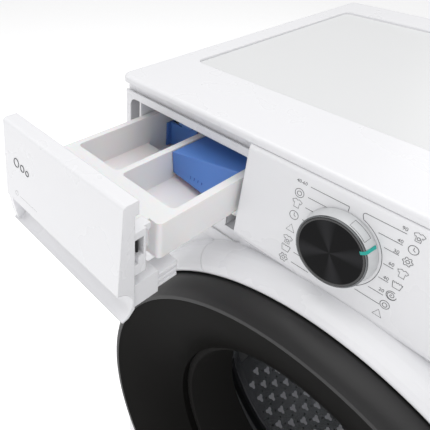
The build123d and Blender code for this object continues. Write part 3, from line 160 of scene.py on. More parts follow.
base_grey = shader("base_dark", (0.05, 0.052, 0.055), 0.6, grain=0.3, grain_scale=900, shade=0.1,
                   edge=1.0)
door_inner = shader("door_back_grey", (0.30, 0.31, 0.32), 0.45, grain=0.12, grain_scale=1100,
                    rough_spread=0.05, edge=0.8)
galvanised = shader("zinc_plate", (0.52, 0.54, 0.56), 0.35, metal=1.0, grain=0.1, shade=0.12,
                    shade_scale=40, rough_spread=0.1, edge=0.5)
drum_steel = shader("drum_stainless", (0.62, 0.63, 0.64), 0.24, metal=1.0, grain=0.06,
                    grain_scale=500, rough_spread=0.08, edge=0.8)
cast_alloy = shader("cast_aluminium", (0.55, 0.56, 0.57), 0.5, metal=0.9, grain=0.5,
                    grain_scale=420, shade=0.08, edge=1.2)
seal_grey = shader("seal_rubber", (0.14, 0.145, 0.15), 0.62, grain=0.15, grain_scale=800,
                   shade=0.06)
hose_black = shader("hose_rubber", (0.025, 0.025, 0.027), 0.6, grain=0.2, grain_scale=700,
                    shade=0.1)
concrete = shader("cast_concrete", (0.36, 0.35, 0.335), 0.9, grain=0.9, grain_scale=160,
                  shade=0.18, shade_scale=60, edge=2.0)
board_green = shader("circuit_board", (0.02, 0.12, 0.05), 0.4, grain=0.1, shade=0.15,
                     shade_scale=200)
ink_grey = shader("print_ink", (0.055, 0.058, 0.062), 0.55, grain=0.1, grain_scale=2500)
pointer_teal = shader("pointer_teal", (0.004, 0.36, 0.31), 0.3, grain=0.05, rough_spread=0.05)

SLOT_MATERIALS = {
    "white_steel": white_steel, "galvanised": galvanised, "white_plastic": white_plastic,
    "worktop_board": board_white, "tray_plastic": tray_plastic, "blue_plastic": blue_plastic,
    "inner_plastic": inner_grey, "base_plastic": base_grey, "door_black": rim_black,
    "door_gloss": ring_black, "door_inner": door_inner, "door_glass": glass_dark,
    "window_black": window_black, "knob_silver": knob_silver, "board_green": board_green,
    "seal_rubber": hose_black, "concrete": concrete, "steel": drum_steel,
    "cast_alloy": cast_alloy, "damper_black": base_grey,
}


def brushed_disc(name, color, rough):
    """Black cap with a faint turned finish of fine circular lines, and painted highlight in
    sectors round it.
    """
    mat = shader(name, color, rough, metal=0.85)
    nodes, links = mat.node_tree.nodes, mat.node_tree.links
    principled = nodes["Principled BSDF"]
    place = nodes.new("ShaderNodeTexCoord")
    shift = nodes.new("ShaderNodeMapping")
    shift.inputs["Location"].default_value = (-KNOB_X, 0, -KNOB_Z)
    links.new(place.outputs["Object"], shift.inputs["Vector"])
    rings = nodes.new("ShaderNodeTexWave")
    rings.wave_type = "RINGS"
    rings.rings_direction = "Y"
    rings.inputs["Scale"].default_value = 650
    rings.inputs["Distortion"].default_value = 1.5
    links.new(shift.outputs["Vector"], rings.inputs["Vector"])
    bump = nodes.new("ShaderNodeBump")
    bump.inputs["Strength"].default_value = 0.12
    bump.inputs["Distance"].default_value = 0.1 * MM
    links.new(rings.outputs["Fac"], bump.inputs["Height"])
    links.new(bump.outputs["Normal"], principled.inputs["Normal"])
    # painted highlight: the base colour brightens in sectors with the angle round the knob, in
    # place of the turned finish's reflections
    split = nodes.new("ShaderNodeSeparateXYZ")
    links.new(shift.outputs["Vector"], split.inputs["Vector"])
    angle = nodes.new("ShaderNodeMath")
    angle.operation = "ARCTAN2"
    links.new(split.outputs["Z"], angle.inputs[0])
    links.new(split.outputs["X"], angle.inputs[1])
    highlight_lobes = nodes.new("ShaderNodeMath")
    highlight_lobes.operation = "MULTIPLY"
    highlight_lobes.inputs[1].default_value = 4
    links.new(angle.outputs["Value"], highlight_lobes.inputs[0])
    wave = nodes.new("ShaderNodeMath")
    wave.operation = "SINE"
    links.new(highlight_lobes.outputs["Value"], wave.inputs[0])
    ramp = nodes.new("ShaderNodeValToRGB")
    ramp.color_ramp.elements[0].position = 0.1
    ramp.color_ramp.elements[0].color = (*color, 1)
    ramp.color_ramp.elements[1].position = 1.0
    ramp.color_ramp.elements[1].color = (*[c * 3.2 for c in color], 1)
    links.new(wave.outputs["Value"], ramp.inputs["Fac"])
    links.new(ramp.outputs["Color"], principled.inputs["Base Color"])
    return mat


SLOT_MATERIALS["knob_black"] = brushed_disc("knob_cap_black", (0.006, 0.006, 0.0065), 0.36)

for part in frame["record"]["subparts"]:
    for material_slot in frame["nodes"][part["node"]].material_slots:
        material_slot.material = SLOT_MATERIALS[part["material_slot"]]


# ---- Making pieces ----
def add(name, mesh, material, slot, body=None, crease=35):
    """Link a mesh as a piece, smooth it, and let it ride on a CAD body."""
    if not mesh.materials:
        mesh.materials.append(material)
    mesh.shade_smooth()
    mesh.set_sharp_from_angle(angle=math.radians(crease))
    obj = bpy.data.objects.new(name, mesh)
    bpy.context.scene.collection.objects.link(obj)
    if body:
        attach(obj, body)
    return obj


def from_bmesh(name, bm, *rest, **more):
    """Piece from a bmesh, with its faces turned outwards."""
    bmesh.ops.recalc_face_normals(bm, faces=bm.faces)
    mesh = bpy.data.meshes.new(name)
    bm.to_mesh(mesh)
    bm.free()
    return add(name, mesh, *rest, **more)


def baked(data, name, matrix=None):
    """Mesh of a curve or text, after its bevel, with an optional placement."""
    carrier = bpy.data.objects.new(name + "_carrier", data)
    mesh = bpy.data.meshes.new_from_object(carrier)
    bpy.data.objects.remove(carrier)
    if matrix:
        mesh.transform(matrix)
    mesh.name = name
    return mesh


def strokes(name, paths, radius, material, slot, body=None, sides=1):
    """Round strokes along (points, closed) paths in the row frame, as one piece."""
    curve = bpy.data.curves.new(name, "CURVE")
    curve.dimensions = "3D"
    curve.bevel_depth = radius
    curve.bevel_resolution = sides
    curve.use_fill_caps = True
    for points, closed in paths:
        spline = curve.splines.new("POLY")
        spline.points.add(len(points) - 1)
        for target, point in zip(spline.points, points):
            target.co = (*point, 1)
        spline.use_cyclic_u = closed
    return add(name, baked(curve, name), material, slot, body, crease=60)


def lathe(profile, steps, place):
    """Bmesh of a closed (radius, along) outline turned round an axis; place puts each point."""
    bm = bmesh.new()
    rows = []
    for k in range(steps):
        turn = 2 * math.pi * k / steps
        rows.append([bm.verts.new(place(turn, radius, along)) for radius, along in profile])
    for k in range(steps):
        here, there = rows[k], rows[(k + 1) % steps]
        for j in range(len(profile)):
            i = (j + 1) % len(profile)
            bm.faces.new((here[j], here[i], there[i], there[j]))
    return bm


def about_drum(turn, radius, y):
    """Point round the drum's axis."""
    return Vector((DRUM_X + radius * math.cos(turn), y, DRUM_Z + radius * math.sin(turn)))


def circle(x, z, radius, steps=20, start=0.0, sweep=360.0):
    """Points round a circle or an arc, in degrees."""
    last = steps if sweep == 360.0 else steps - 1
    turns = [math.radians(start + sweep * k / last) for k in range(steps)]
    return [(x + radius * math.cos(t), z + radius * math.sin(t)) for t in turns]


LEAN = Vector((0, -math.cos(PANEL_TILT), math.sin(PANEL_TILT)))
UP_PANEL = Vector((0, math.sin(PANEL_TILT), math.cos(PANEL_TILT)))


def on_panel(x, z, lift=0.0, edge_y=PANEL_Y):
    """Point on a face tilted like the panel, from millimetres across and up."""
    y = edge_y + (z * MM - PANEL_EDGE_Z) * math.tan(PANEL_TILT)
    return Vector((x * MM, y, z * MM)) + LEAN * lift * MM


def panel_matrix(x, z, lift=0.0):
    """Placement that lays text drawn in its own XY plane on the panel face."""
    place = Matrix((Vector((1, 0, 0)), UP_PANEL, LEAN)).transposed().to_4x4()
    place.translation = on_panel(x, z, lift)
    return place


# ---- Printed marks on the control panel ----
LINE = 0.24 * MM           # half the width of a printed line
ICON = 5.0                 # half the size of a printed symbol, mm


def icon_shapes():
    """Generic laundry symbols as closed and open outlines in a unit square."""
    shirt = [(-0.3, 0.8), (-0.9, 0.45), (-0.65, 0.0), (-0.45, 0.15), (-0.45, -0.8), (0.45, -0.8),
             (0.45, 0.15), (0.65, 0.0), (0.9, 0.45), (0.3, 0.8), (0.0, 0.6)]
    flower = [(r * math.cos(t), r * math.sin(t)) for t, r in
              ((2 * math.pi * k / 36, 0.72 + 0.14 * math.cos(math.pi * k / 3)) for k in range(36))]
    coil = [(0.038 * k * math.cos(0.55 * k), 0.038 * k * math.sin(0.55 * k)) for k in range(23)]
    basin = [(-0.85, 0.45), (-0.6, -0.7), (0.6, -0.7), (0.85, 0.45)]
    waves = [(-0.8 + 0.1 * k, 0.45 + 0.12 * math.sin(math.pi * k / 2)) for k in range(17)]
    drop = [(0.0, 0.85), (-0.42, 0.1), (-0.5, -0.3), (-0.28, -0.68), (0.0, -0.8), (0.28, -0.68),
            (0.5, -0.3), (0.42, 0.1)]
    return {
        "shirt": [(shirt, True)],
        "shirt_ring": [(shirt, True), (circle(0, -0.25, 0.26, 14), True)],
        "flower": [(flower, True), (circle(0, 0, 0.3, 14), True)],
        "drum": [(circle(0, 0, 0.8, 28), True), (circle(0, -0.05, 0.4, 16), True)],
        "triangle": [([(-0.8, -0.6), (0.8, -0.6), (0.0, 0.8)], True)],
        "box": [([(-0.7, -0.7), (0.7, -0.7), (0.7, 0.7), (-0.7, 0.7)], True), (coil, False)],
        "basin": [(basin, False), (waves, False)],
        "spiral": [(coil, False), (circle(0, 0, 0.85, 28, 60, 300), False)],
        "clock": [(circle(0, 0, 0.8, 28), True), ([(0, 0.5), (0, 0), (0.34, -0.2)], False)],
        "drop": [(drop, True), (circle(0, -0.3, 0.2, 12), True)],
    }


ICONS = icon_shapes()


def icon_paths(kind, x, z, size=ICON):
    """Strokes of one symbol centred on the panel at x, z."""
    return [([on_panel(x + size * u, z + size * v) for u, v in points], closed)
            for points, closed in ICONS[kind]]


# Programme lines fan out to the two columns of symbols beside the knob
knob_x, knob_z = KNOB_X / MM, KNOB_Z / MM
LEFT_LINE_X, LEFT_ICON_X = -51.0, -59.0
RIGHT_LINE_X, NUMBER_X = 25.2, 22.9
left_rows = [(831.0, -18.0), (821.0, -29.0), (811.0, -37.4), (799.0, -43.6), (785.6, -47.7),
             (773.2, -46.5), (764.5, -42.0), (754.0, -34.0)]
right_rows = [(832.4, -4.5), (822.5, 7.5), (813.4, 14.5), (800.6, 17.8), (787.7, 17.7),
              (775.0, 13.4), (765.8, 5.0)]
marks = []
for z, inner_x in left_rows:
    marks.append(([on_panel(LEFT_LINE_X, z), on_panel(inner_x, z)], False))
marks.append(([on_panel(-18.0, 831.0), on_panel(-17.6, 830.6), on_panel(-17.6, 826.8)], False))
marks.append(([on_panel(*p) for p in circle(-4.5, 830.4, 2.0, 8, 90, 120)]
              + [on_panel(-5.4, 827.0)], False))
for z, inner_x in right_rows:
    marks.append(([on_panel(inner_x, z), on_panel(RIGHT_LINE_X, z)], False))
marks.append(([on_panel(*p) for p in circle(knob_x, knob_z, 33.7, 60, -78, 148)], False))

left_icons = ["drum", "shirt", "clock", "triangle", "shirt_ring", "basin", "flower"]
for kind, (z, _) in zip(left_icons, left_rows[1:]):
    marks += icon_paths(kind, LEFT_ICON_X, z)
right_icons = ["shirt_ring", "clock", "flower", "shirt", "basin", "spiral", "drum", "triangle"]
right_spots = [(33.0, 834.0), (32.6, 823.0), (32.0, 812.0), (31.8, 800.7), (31.4, 789.4),
               (30.4, 778.6), (28.6, 768.0), (26.0, 757.6)]
for kind, (x, z) in zip(right_icons, right_spots):
    marks += icon_paths(kind, x, z, 0.88 * ICON)
# The part of the panel that the display and keys are on
SMALL_ICON = 3.0
DISPLAY_ICON_Z, KEY_ICON_Z = 831.0, 774.5
for kind, x in (("clock", 112.0), ("drop", 160.0), ("spiral", 208.0)):
    marks += icon_paths(kind, x, DISPLAY_ICON_Z, SMALL_ICON)
for kind, x in (("drop", 135.0), ("drum", 185.0)):
    marks += icon_paths(kind, x, KEY_ICON_Z, SMALL_ICON)
START_X, START_Z = 262.0, 816.0
marks.append(([on_panel(START_X, START_Z - 3), on_panel(START_X, START_Z + 4)], False))
marks.append(([on_panel(*p) for p in circle(START_X, START_Z, 4.0, 22, 125, 290)], False))
strokes("panel_marks", marks, LINE, ink_grey, "window_black", "cabinet")


NUMBER_LIFT = 0.05         # keeps the printed numbers just above the panel, mm


def panel_numbers(name, entries, size, material, slot, body):
    """Small generic numbers laid on the panel face."""
    bm = bmesh.new()
    for text, x, z in entries:
        font = bpy.data.curves.new(name, "FONT")
        font.body = text
        font.size = size * MM
        font.align_x = "CENTER"
        font.align_y = "CENTER"
        font.extrude = 0.06 * MM
        font.offset = -0.02 * MM
        font.resolution_u = 3
        written = baked(font, name, panel_matrix(x, z, NUMBER_LIFT))
        bm.from_mesh(written)
        bpy.data.meshes.remove(written)
    return from_bmesh(name, bm, material, slot, body)


degrees = [("90", 3.2), ("40", 2.3), ("30", 1.9), ("60", 2.8), ("40", 2.3), ("20", 3.4)]
numbers = [(text, NUMBER_X, z + rise) for (text, rise), (z, _) in zip(degrees, right_rows)]
numbers.append(("40-60", LEFT_ICON_X, 831.6))
panel_numbers("panel_numbers", numbers, 4.2, ink_grey, "window_black", "cabinet")

# Lit figures in the display: seven-bar digits on the face of the dark window
lit_white = shader("display_lit", (0.75, 0.8, 0.82), 0.4, Emission_Strength=0.25,
                   Emission_Color=(0.8, 0.9, 1.0, 1))
display_low, display_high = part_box("display_window")
display_x = (display_low.x + display_high.x) / 2 / MM
display_z = (display_low.z + display_high.z) / 2 / MM
BARS = {"a": (0, 2, 1, 2), "b": (1, 2, 1, 1), "c": (1, 1, 1, 0), "d": (0, 0, 1, 0),
        "e": (0, 1, 0, 0), "f": (0, 2, 0, 1), "g": (0, 1, 1, 1)}
DIGITS = {"1": "bc", "2": "abged", "8": "abcdefg"}
WINDOW_FACE = 1.1          # the window stands this far out of the panel, mm


def seven_bar(digit, x, z, size):
    """Strokes of one seven-bar digit with its lower left corner at x, z."""
    paths = []
    for bar in DIGITS[digit]:
        x0, z0, x1, z1 = BARS[bar]
        run = Vector((x1 - x0, z1 - z0)).normalized() * 0.12
        start = on_panel(x + size * (x0 + run.x), z + size * (z0 + run.y), WINDOW_FACE)
        stop = on_panel(x + size * (x1 - run.x), z + size * (z1 - run.y), WINDOW_FACE)
        paths.append(([start, stop], False))
    return paths


lit = []
for digit, offset in (("1", -22.0), ("2", -6.0), ("8", 7.0)):
    lit += seven_bar(digit, display_x + offset, display_z - 9.0, 8.0)
for rise in (-4.0, 3.0):
    lit.append(([on_panel(display_x - 10.0, display_z + rise, WINDOW_FACE),
                 on_panel(display_x - 9.4, display_z + rise, WINDOW_FACE)], False))
strokes("display_figures", lit, 0.45 * MM, lit_white, "window_black", "cabinet")


# ---- Knob: trim ring, groove and pointer ----
SKIRT_TOP, CAP_TOP = 12.6, 14.2          # heights above the panel, mm
cap_low, cap_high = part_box("knob_cap")
CAP_R = (cap_high.x - cap_low.x) / 2 / MM
POINTER_TURN = math.radians(32.5)
KNOB_STEPS = 96            # sides of the knob's rings


def about_knob(turn, radius, lift):
    """Point round the knob's axis, from millimetres out and above the panel."""
    centre = on_panel(KNOB_X / MM, KNOB_Z / MM, lift)
    side = Vector((1, 0, 0)) * math.cos(turn) + UP_PANEL * math.sin(turn)
    return centre + side * radius * MM


trim_metal = shader("knob_trim", (0.16, 0.165, 0.17), 0.25, metal=0.9, rough_spread=0.05)
trim = lathe([(CAP_R - 0.1, CAP_TOP - 0.9), (CAP_R + 0.25, CAP_TOP - 0.5),
              (CAP_R - 0.1, CAP_TOP + 0.15), (CAP_R - 0.9, CAP_TOP + 0.25),
              (CAP_R - 1.4, CAP_TOP - 0.1)], KNOB_STEPS, about_knob)
from_bmesh("knob_trim_ring", trim, trim_metal, "knob_black", "knob")
groove = lathe([(CAP_R - 1.4, CAP_TOP + 0.2), (CAP_R - 2.0, CAP_TOP + 0.3),
                (CAP_R - 3.0, CAP_TOP + 0.12), (CAP_R - 3.0, CAP_TOP - 0.2),
                (CAP_R - 1.4, CAP_TOP - 0.2)], KNOB_STEPS, about_knob)
from_bmesh("knob_groove_ring", groove, window_black, "knob_black", "knob")


def band(path, width, thick, turn):
    """Bmesh strip along (radius, lift, rise) points; rise 1 thickens it upwards, 0 outwards."""
    across = Vector((-math.sin(turn), 0, 0)) + UP_PANEL * math.cos(turn)
    bm = bmesh.new()
    rows = []
    for radius, lift, rise in path:
        middle = about_knob(turn, radius, lift)
        over = about_knob(turn, radius + thick * (1 - rise), lift + thick * rise)
        half = across * width / 2 * MM
        rows.append([bm.verts.new(p) for p in (middle - half, over - half, over + half,
                                               middle + half)])
    for here, there in zip(rows, rows[1:]):
        for j in range(4):
            i = (j + 1) % 4
            bm.faces.new((here[j], here[i], there[i], there[j]))
    bm.faces.new(rows[0])
    bm.faces.new(rows[-1][::-1])
    return bm


pointer_path = [(CAP_R - 4.2, CAP_TOP, 1.0), (CAP_R - 0.6, CAP_TOP, 1.0),
                (CAP_R + 0.1, CAP_TOP - 0.5, 0.5), (CAP_R + 0.4, SKIRT_TOP, 0.0),
                (KNOB_R / MM - 0.25, 2.2, 0.0)]
pointer = band(pointer_path, 2.5, 0.5, POINTER_TURN)
from_bmesh("knob_pointer", pointer, pointer_teal, "window_black", "knob", crease=50)

# Faint outline drawn on the skirt, above the pointer
window_outline = []
for turn in range(46, 77, 3):
    window_outline.append(about_knob(math.radians(turn), CAP_R + 0.55, 11.2))
for turn in range(76, 45, -3):
    window_outline.append(about_knob(math.radians(turn), CAP_R + 1.75, 3.6))
strokes("knob_skirt_outline", [(window_outline, True)], 0.16 * MM, trim_metal, "knob_silver",
        "knob")

# ---- Drawer: generic marks on the front and level marks on the insert ----
FRONT_Y = front_low.y      # the scoop's lower edge reaches the drawer's frontmost face
PRINT_LIFT = 0.35          # keeps drawer prints on its slightly steeper face, mm
drawer_marks = []
for x, z, radius in ((-274.0, 803.5, 4.4), (-263.0, 802.2, 3.4), (-254.0, 801.0, 2.6)):
    drawer_marks.append(([on_panel(*spot, PRINT_LIFT, FRONT_Y)
                          for spot in circle(x, z, radius, 28)], True))
strokes("drawer_emblem", drawer_marks, 0.45 * MM, ink_grey, "window_black", "drawer")
faint_ink = shader("print_ink_pale", (0.28, 0.28, 0.29), 0.5, grain=0.1, grain_scale=2500)
small_marks = [([on_panel(-270.0, 767.6, PRINT_LIFT, FRONT_Y),
                 on_panel(-238.0, 767.6, PRINT_LIFT, FRONT_Y)], False)]
small_marks.append(([on_panel(*spot, PRINT_LIFT, FRONT_Y)
                     for spot in circle(-276.0, 768.4, 2.6, 20)], True))
strokes("drawer_symbol", small_marks, 0.3 * MM, faint_ink, "window_black", "drawer")

# Latch spring: a plate and a narrow rib in the slot of the drawer's cheek
SLOT_DEPTH = 10.0          # from the drawer's right side to the slot's floor, mm
SLOT_GAP = 0.6             # between that floor and the spring, mm
slot_x = front_high.x - SLOT_DEPTH * MM
slot_y, slot_z = FRONT_Y + 19.8 * MM, front_low.z + 61.2 * MM
# Each bar's width, height, thickness, and its middle back and up from the slot's corner, mm
PLATE, RIB = (7.6, 20.0, 0.8, 3.9, 10.5), (2.2, 16.0, 3.0, 5.8, 8.0)
latch = bmesh.new()
for wide, tall, depth, shift_y, shift_z in (PLATE, RIB):
    corners = bmesh.ops.create_cube(latch, size=1.0)["verts"]
    middle = (slot_x + (depth / 2 + SLOT_GAP) * MM, slot_y + shift_y * MM,
              slot_z + shift_z * MM)
    bmesh.ops.scale(latch, verts=corners, vec=(depth * MM, wide * MM, tall * MM))
    bmesh.ops.translate(latch, verts=corners, vec=middle)
bmesh.ops.bevel(latch, geom=latch.edges[:], offset=0.3 * MM, segments=2, affect="EDGES")
from_bmesh("drawer_latch_spring", latch, hose_black, "damper_black", "drawer")

hood_low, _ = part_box("siphon_hood")
hood_blue = shader("insert_mark", (0.03, 0.10, 0.42), 0.35, grain=0.1)
hood_face_y = hood_low.y + 7.2 * MM
MARK_START, MARK_PITCH = 25, 5
level_marks = []
for k in range(4):
    x = hood_low.x + (MARK_START + MARK_PITCH * k) * MM
    level_marks.append(([Vector((x, hood_face_y, hood_low.z + 13 * MM)),
                         Vector((x, hood_face_y - 0.6 * MM, hood_low.z + 8 * MM))], False))
strokes("insert_level_marks", level_marks, 0.4 * MM, hood_blue, "blue_plastic", "hood")

# ---- Soft pieces between the cabinet and the tub, which bounces on its springs ----
gasket_low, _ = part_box("door_gasket")
gasket_y = gasket_low.y - 27 * MM          # depth that the gasket's profile is drawn from
GASKET_WALL = 2.6          # thickness of the rubber, mm
ROUND_STEPS = 144          # sides of the large round pieces about the drum's axis


def thickened(line, thick):
    """Closed outline round an open line of (radius, along) points."""
    sides = ([], [])
    for k, point in enumerate(line):
        before, after = line[max(k - 1, 0)], line[min(k + 1, len(line) - 1)]
        run = (Vector(after) - Vector(before)).normalized()
        out = Vector((-run.y, run.x)) * thick / 2
        sides[0].append(Vector(point) + out)
        sides[1].append(Vector(point) - out)
    return [tuple(p) for p in sides[0] + sides[1][::-1]]


def smooth_line(points, steps=5):
    """Rounded line through (radius, along) points, as Catmull-Rom arcs."""
    line = []
    padded = [points[0]] + list(points) + [points[-1]]
    for a, b, c, d in zip(padded, padded[1:], padded[2:], padded[3:]):
        a, b, c, d = (Vector(p) for p in (a, b, c, d))
        for k in range(steps):
            t = k / steps
            line.append(0.5 * (2 * b + (c - a) * t + (2 * a - 5 * b + 4 * c - d) * t * t
                               + (3 * b - a - 3 * c + d) * t ** 3))
    return line + [Vector(points[-1])]


bellows = smooth_line([(173, 29), (173, 38), (178, 43), (184, 46), (184.5, 52), (178, 55),
                       (177, 59), (183.5, 62), (183, 68), (175, 72), (173.6, 78), (173.6, 84)])
lip = smooth_line([(178, 43), (170, 41), (160, 44), (152, 47.5), (148, 50.5)])
gasket = bmesh.new()
for line in (bellows, lip):
    outline = [(r * MM, gasket_y + y * MM) for r, y in thickened(line, GASKET_WALL)]
    part = lathe(outline, ROUND_STEPS, about_drum)
    holder = bpy.data.meshes.new("gasket_part")
    part.to_mesh(holder)
    part.free()
    gasket.from_mesh(holder)
    bpy.data.meshes.remove(holder)
gasket_piece = from_bmesh("gasket_bellows", gasket, seal_grey, "seal_rubber")
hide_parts("door_gasket")
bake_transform(gasket_piece)

# Coil springs with straight ends in the middle of the coil
spring_low, spring_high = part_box("tub_springs")
SPRING_TURNS, WIRE, SPRING_R = 15, 1.5, 11
COIL_STEPS = 20            # points in each turn
coil_r = (SPRING_R - WIRE) * MM
spring_y = (spring_low.y + spring_high.y) / 2
coils = []
for side in (-1, 1):
    x = side * (spring_high.x - SPRING_R * MM)
    top, foot = spring_high.z - 12 * MM, spring_low.z + 10 * MM
    steps = SPRING_TURNS * COIL_STEPS
    wire = [Vector((x, spring_y, spring_high.z - 1.5 * MM)), Vector((x, spring_y, top + 4 * MM))]
    for k in range(steps + 1):
        turn = 2 * math.pi * k / COIL_STEPS
        ramp = min(1.0, k / 12, (steps - k) / 12)
        wire.append(Vector((x + coil_r * ramp * math.cos(turn),
                            spring_y + coil_r * ramp * math.sin(turn),
                            top + (foot - top) * k / steps)))
    wire += [Vector((x, spring_y, foot - 4 * MM)), Vector((x, spring_y, spring_low.z + 1.5 * MM))]
    coils.append((wire, False))
springs = strokes("coil_springs", coils, WIRE * MM, galvanised, "steel", sides=3)
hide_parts("tub_springs")
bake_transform(springs)

# Fill hose: straight bellows from the housing to the tub
fill_low, fill_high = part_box("fill_hose")
fill_x, fill_y = (fill_low.x + fill_high.x) / 2, (fill_low.y + fill_high.y) / 2
fill_profile = []
FILL_R, FILL_BORE, FILL_RIB = 15.5 * MM, 14.0 * MM, 1.4 * MM
RIBS, RIB_POINTS = 9, 6
fill_steps = RIBS * RIB_POINTS
for k in range(fill_steps + 1):
    z = fill_low.z + (fill_high.z - fill_low.z) * k / fill_steps
    plain = k < 4 or k > fill_steps - 4
    swell = 0 if plain else FILL_RIB * math.cos(2 * math.pi * k / RIB_POINTS)
    fill_profile.append((FILL_R + swell, z))
fill_profile += [(FILL_BORE, fill_high.z), (FILL_BORE, fill_low.z)]


def about_fill(turn, radius, z):
    """Point round the fill hose's upright axis."""
    return Vector((fill_x + radius * math.cos(turn), fill_y + radius * math.sin(turn), z))


fill_piece = from_bmesh("fill_bellows", lathe(fill_profile, 40, about_fill), hose_black,
                        "seal_rubber")
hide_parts("fill_hose")
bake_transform(fill_piece)

# Sump hose: ribbed rubber elbow from the tub down to the pump
sump_low, sump_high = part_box("sump_hose")
SUMP_R = 27 * MM
sump_x, sump_y = sump_low.x + SUMP_R, sump_high.y - SUMP_R
pump_end = Vector((sump_high.x, sump_low.y + SUMP_R, sump_low.z + SUMP_R))
sump_route = [Vector((sump_x, sump_y, sump_high.z)), Vector((sump_x, sump_y, 160 * MM)),
              Vector((sump_x, sump_y, 118 * MM)),
              Vector((sump_x + 22 * MM, sump_y - 48 * MM, 100 * MM)),
              Vector((sump_x + 78 * MM, pump_end.y + 42 * MM, pump_end.z)),
              Vector((pump_end.x - 72 * MM, pump_end.y + 4 * MM, pump_end.z)),
              Vector((pump_end.x - 40 * MM, pump_end.y, pump_end.z)), pump_end]


def ribbed_tube(points, radius, rib, pitch, steps=36):
    """Bmesh tube with raised ribs along the smooth line through the route's points."""
    curve = bpy.data.curves.new("route", "CURVE")
    curve.dimensions = "3D"
    curve.resolution_u = 24
    spline = curve.splines.new("NURBS")
    spline.points.add(len(points) - 1)
    for target, point in zip(spline.points, points):
        target.co = (*point, 1)
    spline.order_u = 3
    spline.use_endpoint_u = True
    line = [v.co.copy() for v in baked(curve, "route").vertices]
    bm = bmesh.new()
    rows, travelled, side = [], 0.0, Vector((1, 0, 0))
    for k, point in enumerate(line):
        run = (line[min(k + 1, len(line) - 1)] - line[max(k - 1, 0)]).normalized()
        side = (side - run * side.dot(run)).normalized()
        other = run.cross(side)
        if k:
            travelled += (point - line[k - 1]).length
        swell = rib * math.cos(2 * math.pi * travelled / pitch)
        rows.append([bm.verts.new(point + (side * math.cos(2 * math.pi * j / steps)
                                           + other * math.sin(2 * math.pi * j / steps))
                                  * (radius + swell)) for j in range(steps)])
    for here, there in zip(rows, rows[1:]):
        for j in range(steps):
            i = (j + 1) % steps
            bm.faces.new((here[j], here[i], there[i], there[j]))
    bm.faces.new(rows[0])
    bm.faces.new(rows[-1])
    return bm


sump_piece = from_bmesh("sump_bellows", ribbed_tube(sump_route, SUMP_R - 2.4 * MM, 1.2 * MM,
                                                    12 * MM), hose_black, "seal_rubber")
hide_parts("sump_hose")
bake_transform(sump_piece)

# ---- Drum: rows of drawn holes between raised three-armed stars ----
DRUM_INNER = DRUM_R - 2 * MM
PATTERN_FRONT, PATTERN_REAR = 26, 22       # plain strips at the drum's two ends, mm
drum_y0, drum_y1 = drum_low.y + PATTERN_FRONT * MM, drum_high.y - PATTERN_REAR * MM
HOLE_COLUMNS, HOLE_ROWS = 128, 25
LIFTER_TURNS = (90.0, 210.0, 330.0)
LIFTER_HALF = 17.0         # half the angle kept clear beside each lifter


def on_wall(turn, y, depth):
    """Point on the drum's inner wall, raised inwards by depth."""
    return about_drum(turn, DRUM_INNER - depth, y)


def clear_of_lifters(turn):
    """Whether an angle on the drum's wall is clear of the lifters."""
    degrees_round = math.degrees(turn) % 360
    return all(abs((degrees_round - at + 180) % 360 - 180) > LIFTER_HALF for at in LIFTER_TURNS)


def drawn_spot(bm, turn, y, rings, steps=10):
    """Small round relief on the wall from (radius, depth) rings, closed in the middle."""
    rows = []
    for radius, depth in rings:
        rows.append([bm.verts.new(on_wall(turn + radius * MM * math.cos(a) / DRUM_INNER,
                                          y + radius * MM * math.sin(a), depth * MM))
                     for a in (2 * math.pi * j / steps for j in range(steps))])
    for here, there in zip(rows, rows[1:]):
        for j in range(steps):
            i = (j + 1) % steps
            bm.faces.new((here[j], here[i], there[i], there[j]))
    bm.faces.new(rows[-1])


def drawn_star(bm, turn, y, reach=6.8, height=2.4):
    """Low three-armed pyramid pressed up from the wall."""
    foot = []
    for j in range(18):
        a = 2 * math.pi * j / 18
        radius = reach * (0.50 + 0.50 * abs(math.cos(1.5 * a)) ** 1.5) * MM
        foot.append(bm.verts.new(on_wall(turn + radius * math.cos(a) / DRUM_INNER,
                                         y + radius * math.sin(a), 0.02 * MM)))
    top = bm.verts.new(on_wall(turn, y, height * MM))
    for here, there in zip(foot, foot[1:] + foot[:1]):
        bm.faces.new((here, there, top))


HOLE_RIM = [(2.6, 0.02), (2.1, 0.4), (1.6, 0.3)]
HOLE_DISC = [(1.6, 0.34)]
holes, rims, stars = bmesh.new(), bmesh.new(), bmesh.new()
for column in range(HOLE_COLUMNS):
    for row in range(HOLE_ROWS):
        turn = 2 * math.pi * (column + 0.5 * (row % 2)) / HOLE_COLUMNS
        y = drum_y0 + (drum_y1 - drum_y0) * row / (HOLE_ROWS - 1)
        if not clear_of_lifters(turn):
            continue
        if row % 2 == 0 and column % 2 == (row // 2) % 2:
            drawn_star(stars, turn, y)
        elif row % 2:
            drawn_spot(rims, turn, y, HOLE_RIM)
            drawn_spot(holes, turn, y, HOLE_DISC)
# Painted shade: a dark disc closes each hole, standing for the shadowed gap behind the drum
hole_painted_shade = shader("hole_painted_shade", (0.006, 0.006, 0.007), 0.8, grain=0.1)
# Painted light: the stars are painted lighter than the drum's steel and given a faint glow, so the
# relief reads through the smoked glass
star_steel_painted_light = shader("drum_relief_painted_light", (0.86, 0.87, 0.90), 0.4, metal=0.25, grain=0.05,
                    rough_spread=0.05, Emission_Color=(0.8, 0.8, 0.86, 1),
                    Emission_Strength=0.1)
from_bmesh("drum_hole_rims", rims, drum_steel, "steel", "drum_group")
from_bmesh("drum_holes_painted_shade", holes, hole_painted_shade, "steel", "drum_group")
from_bmesh("drum_stars", stars, star_steel_painted_light, "steel", "drum_group", crease=12)

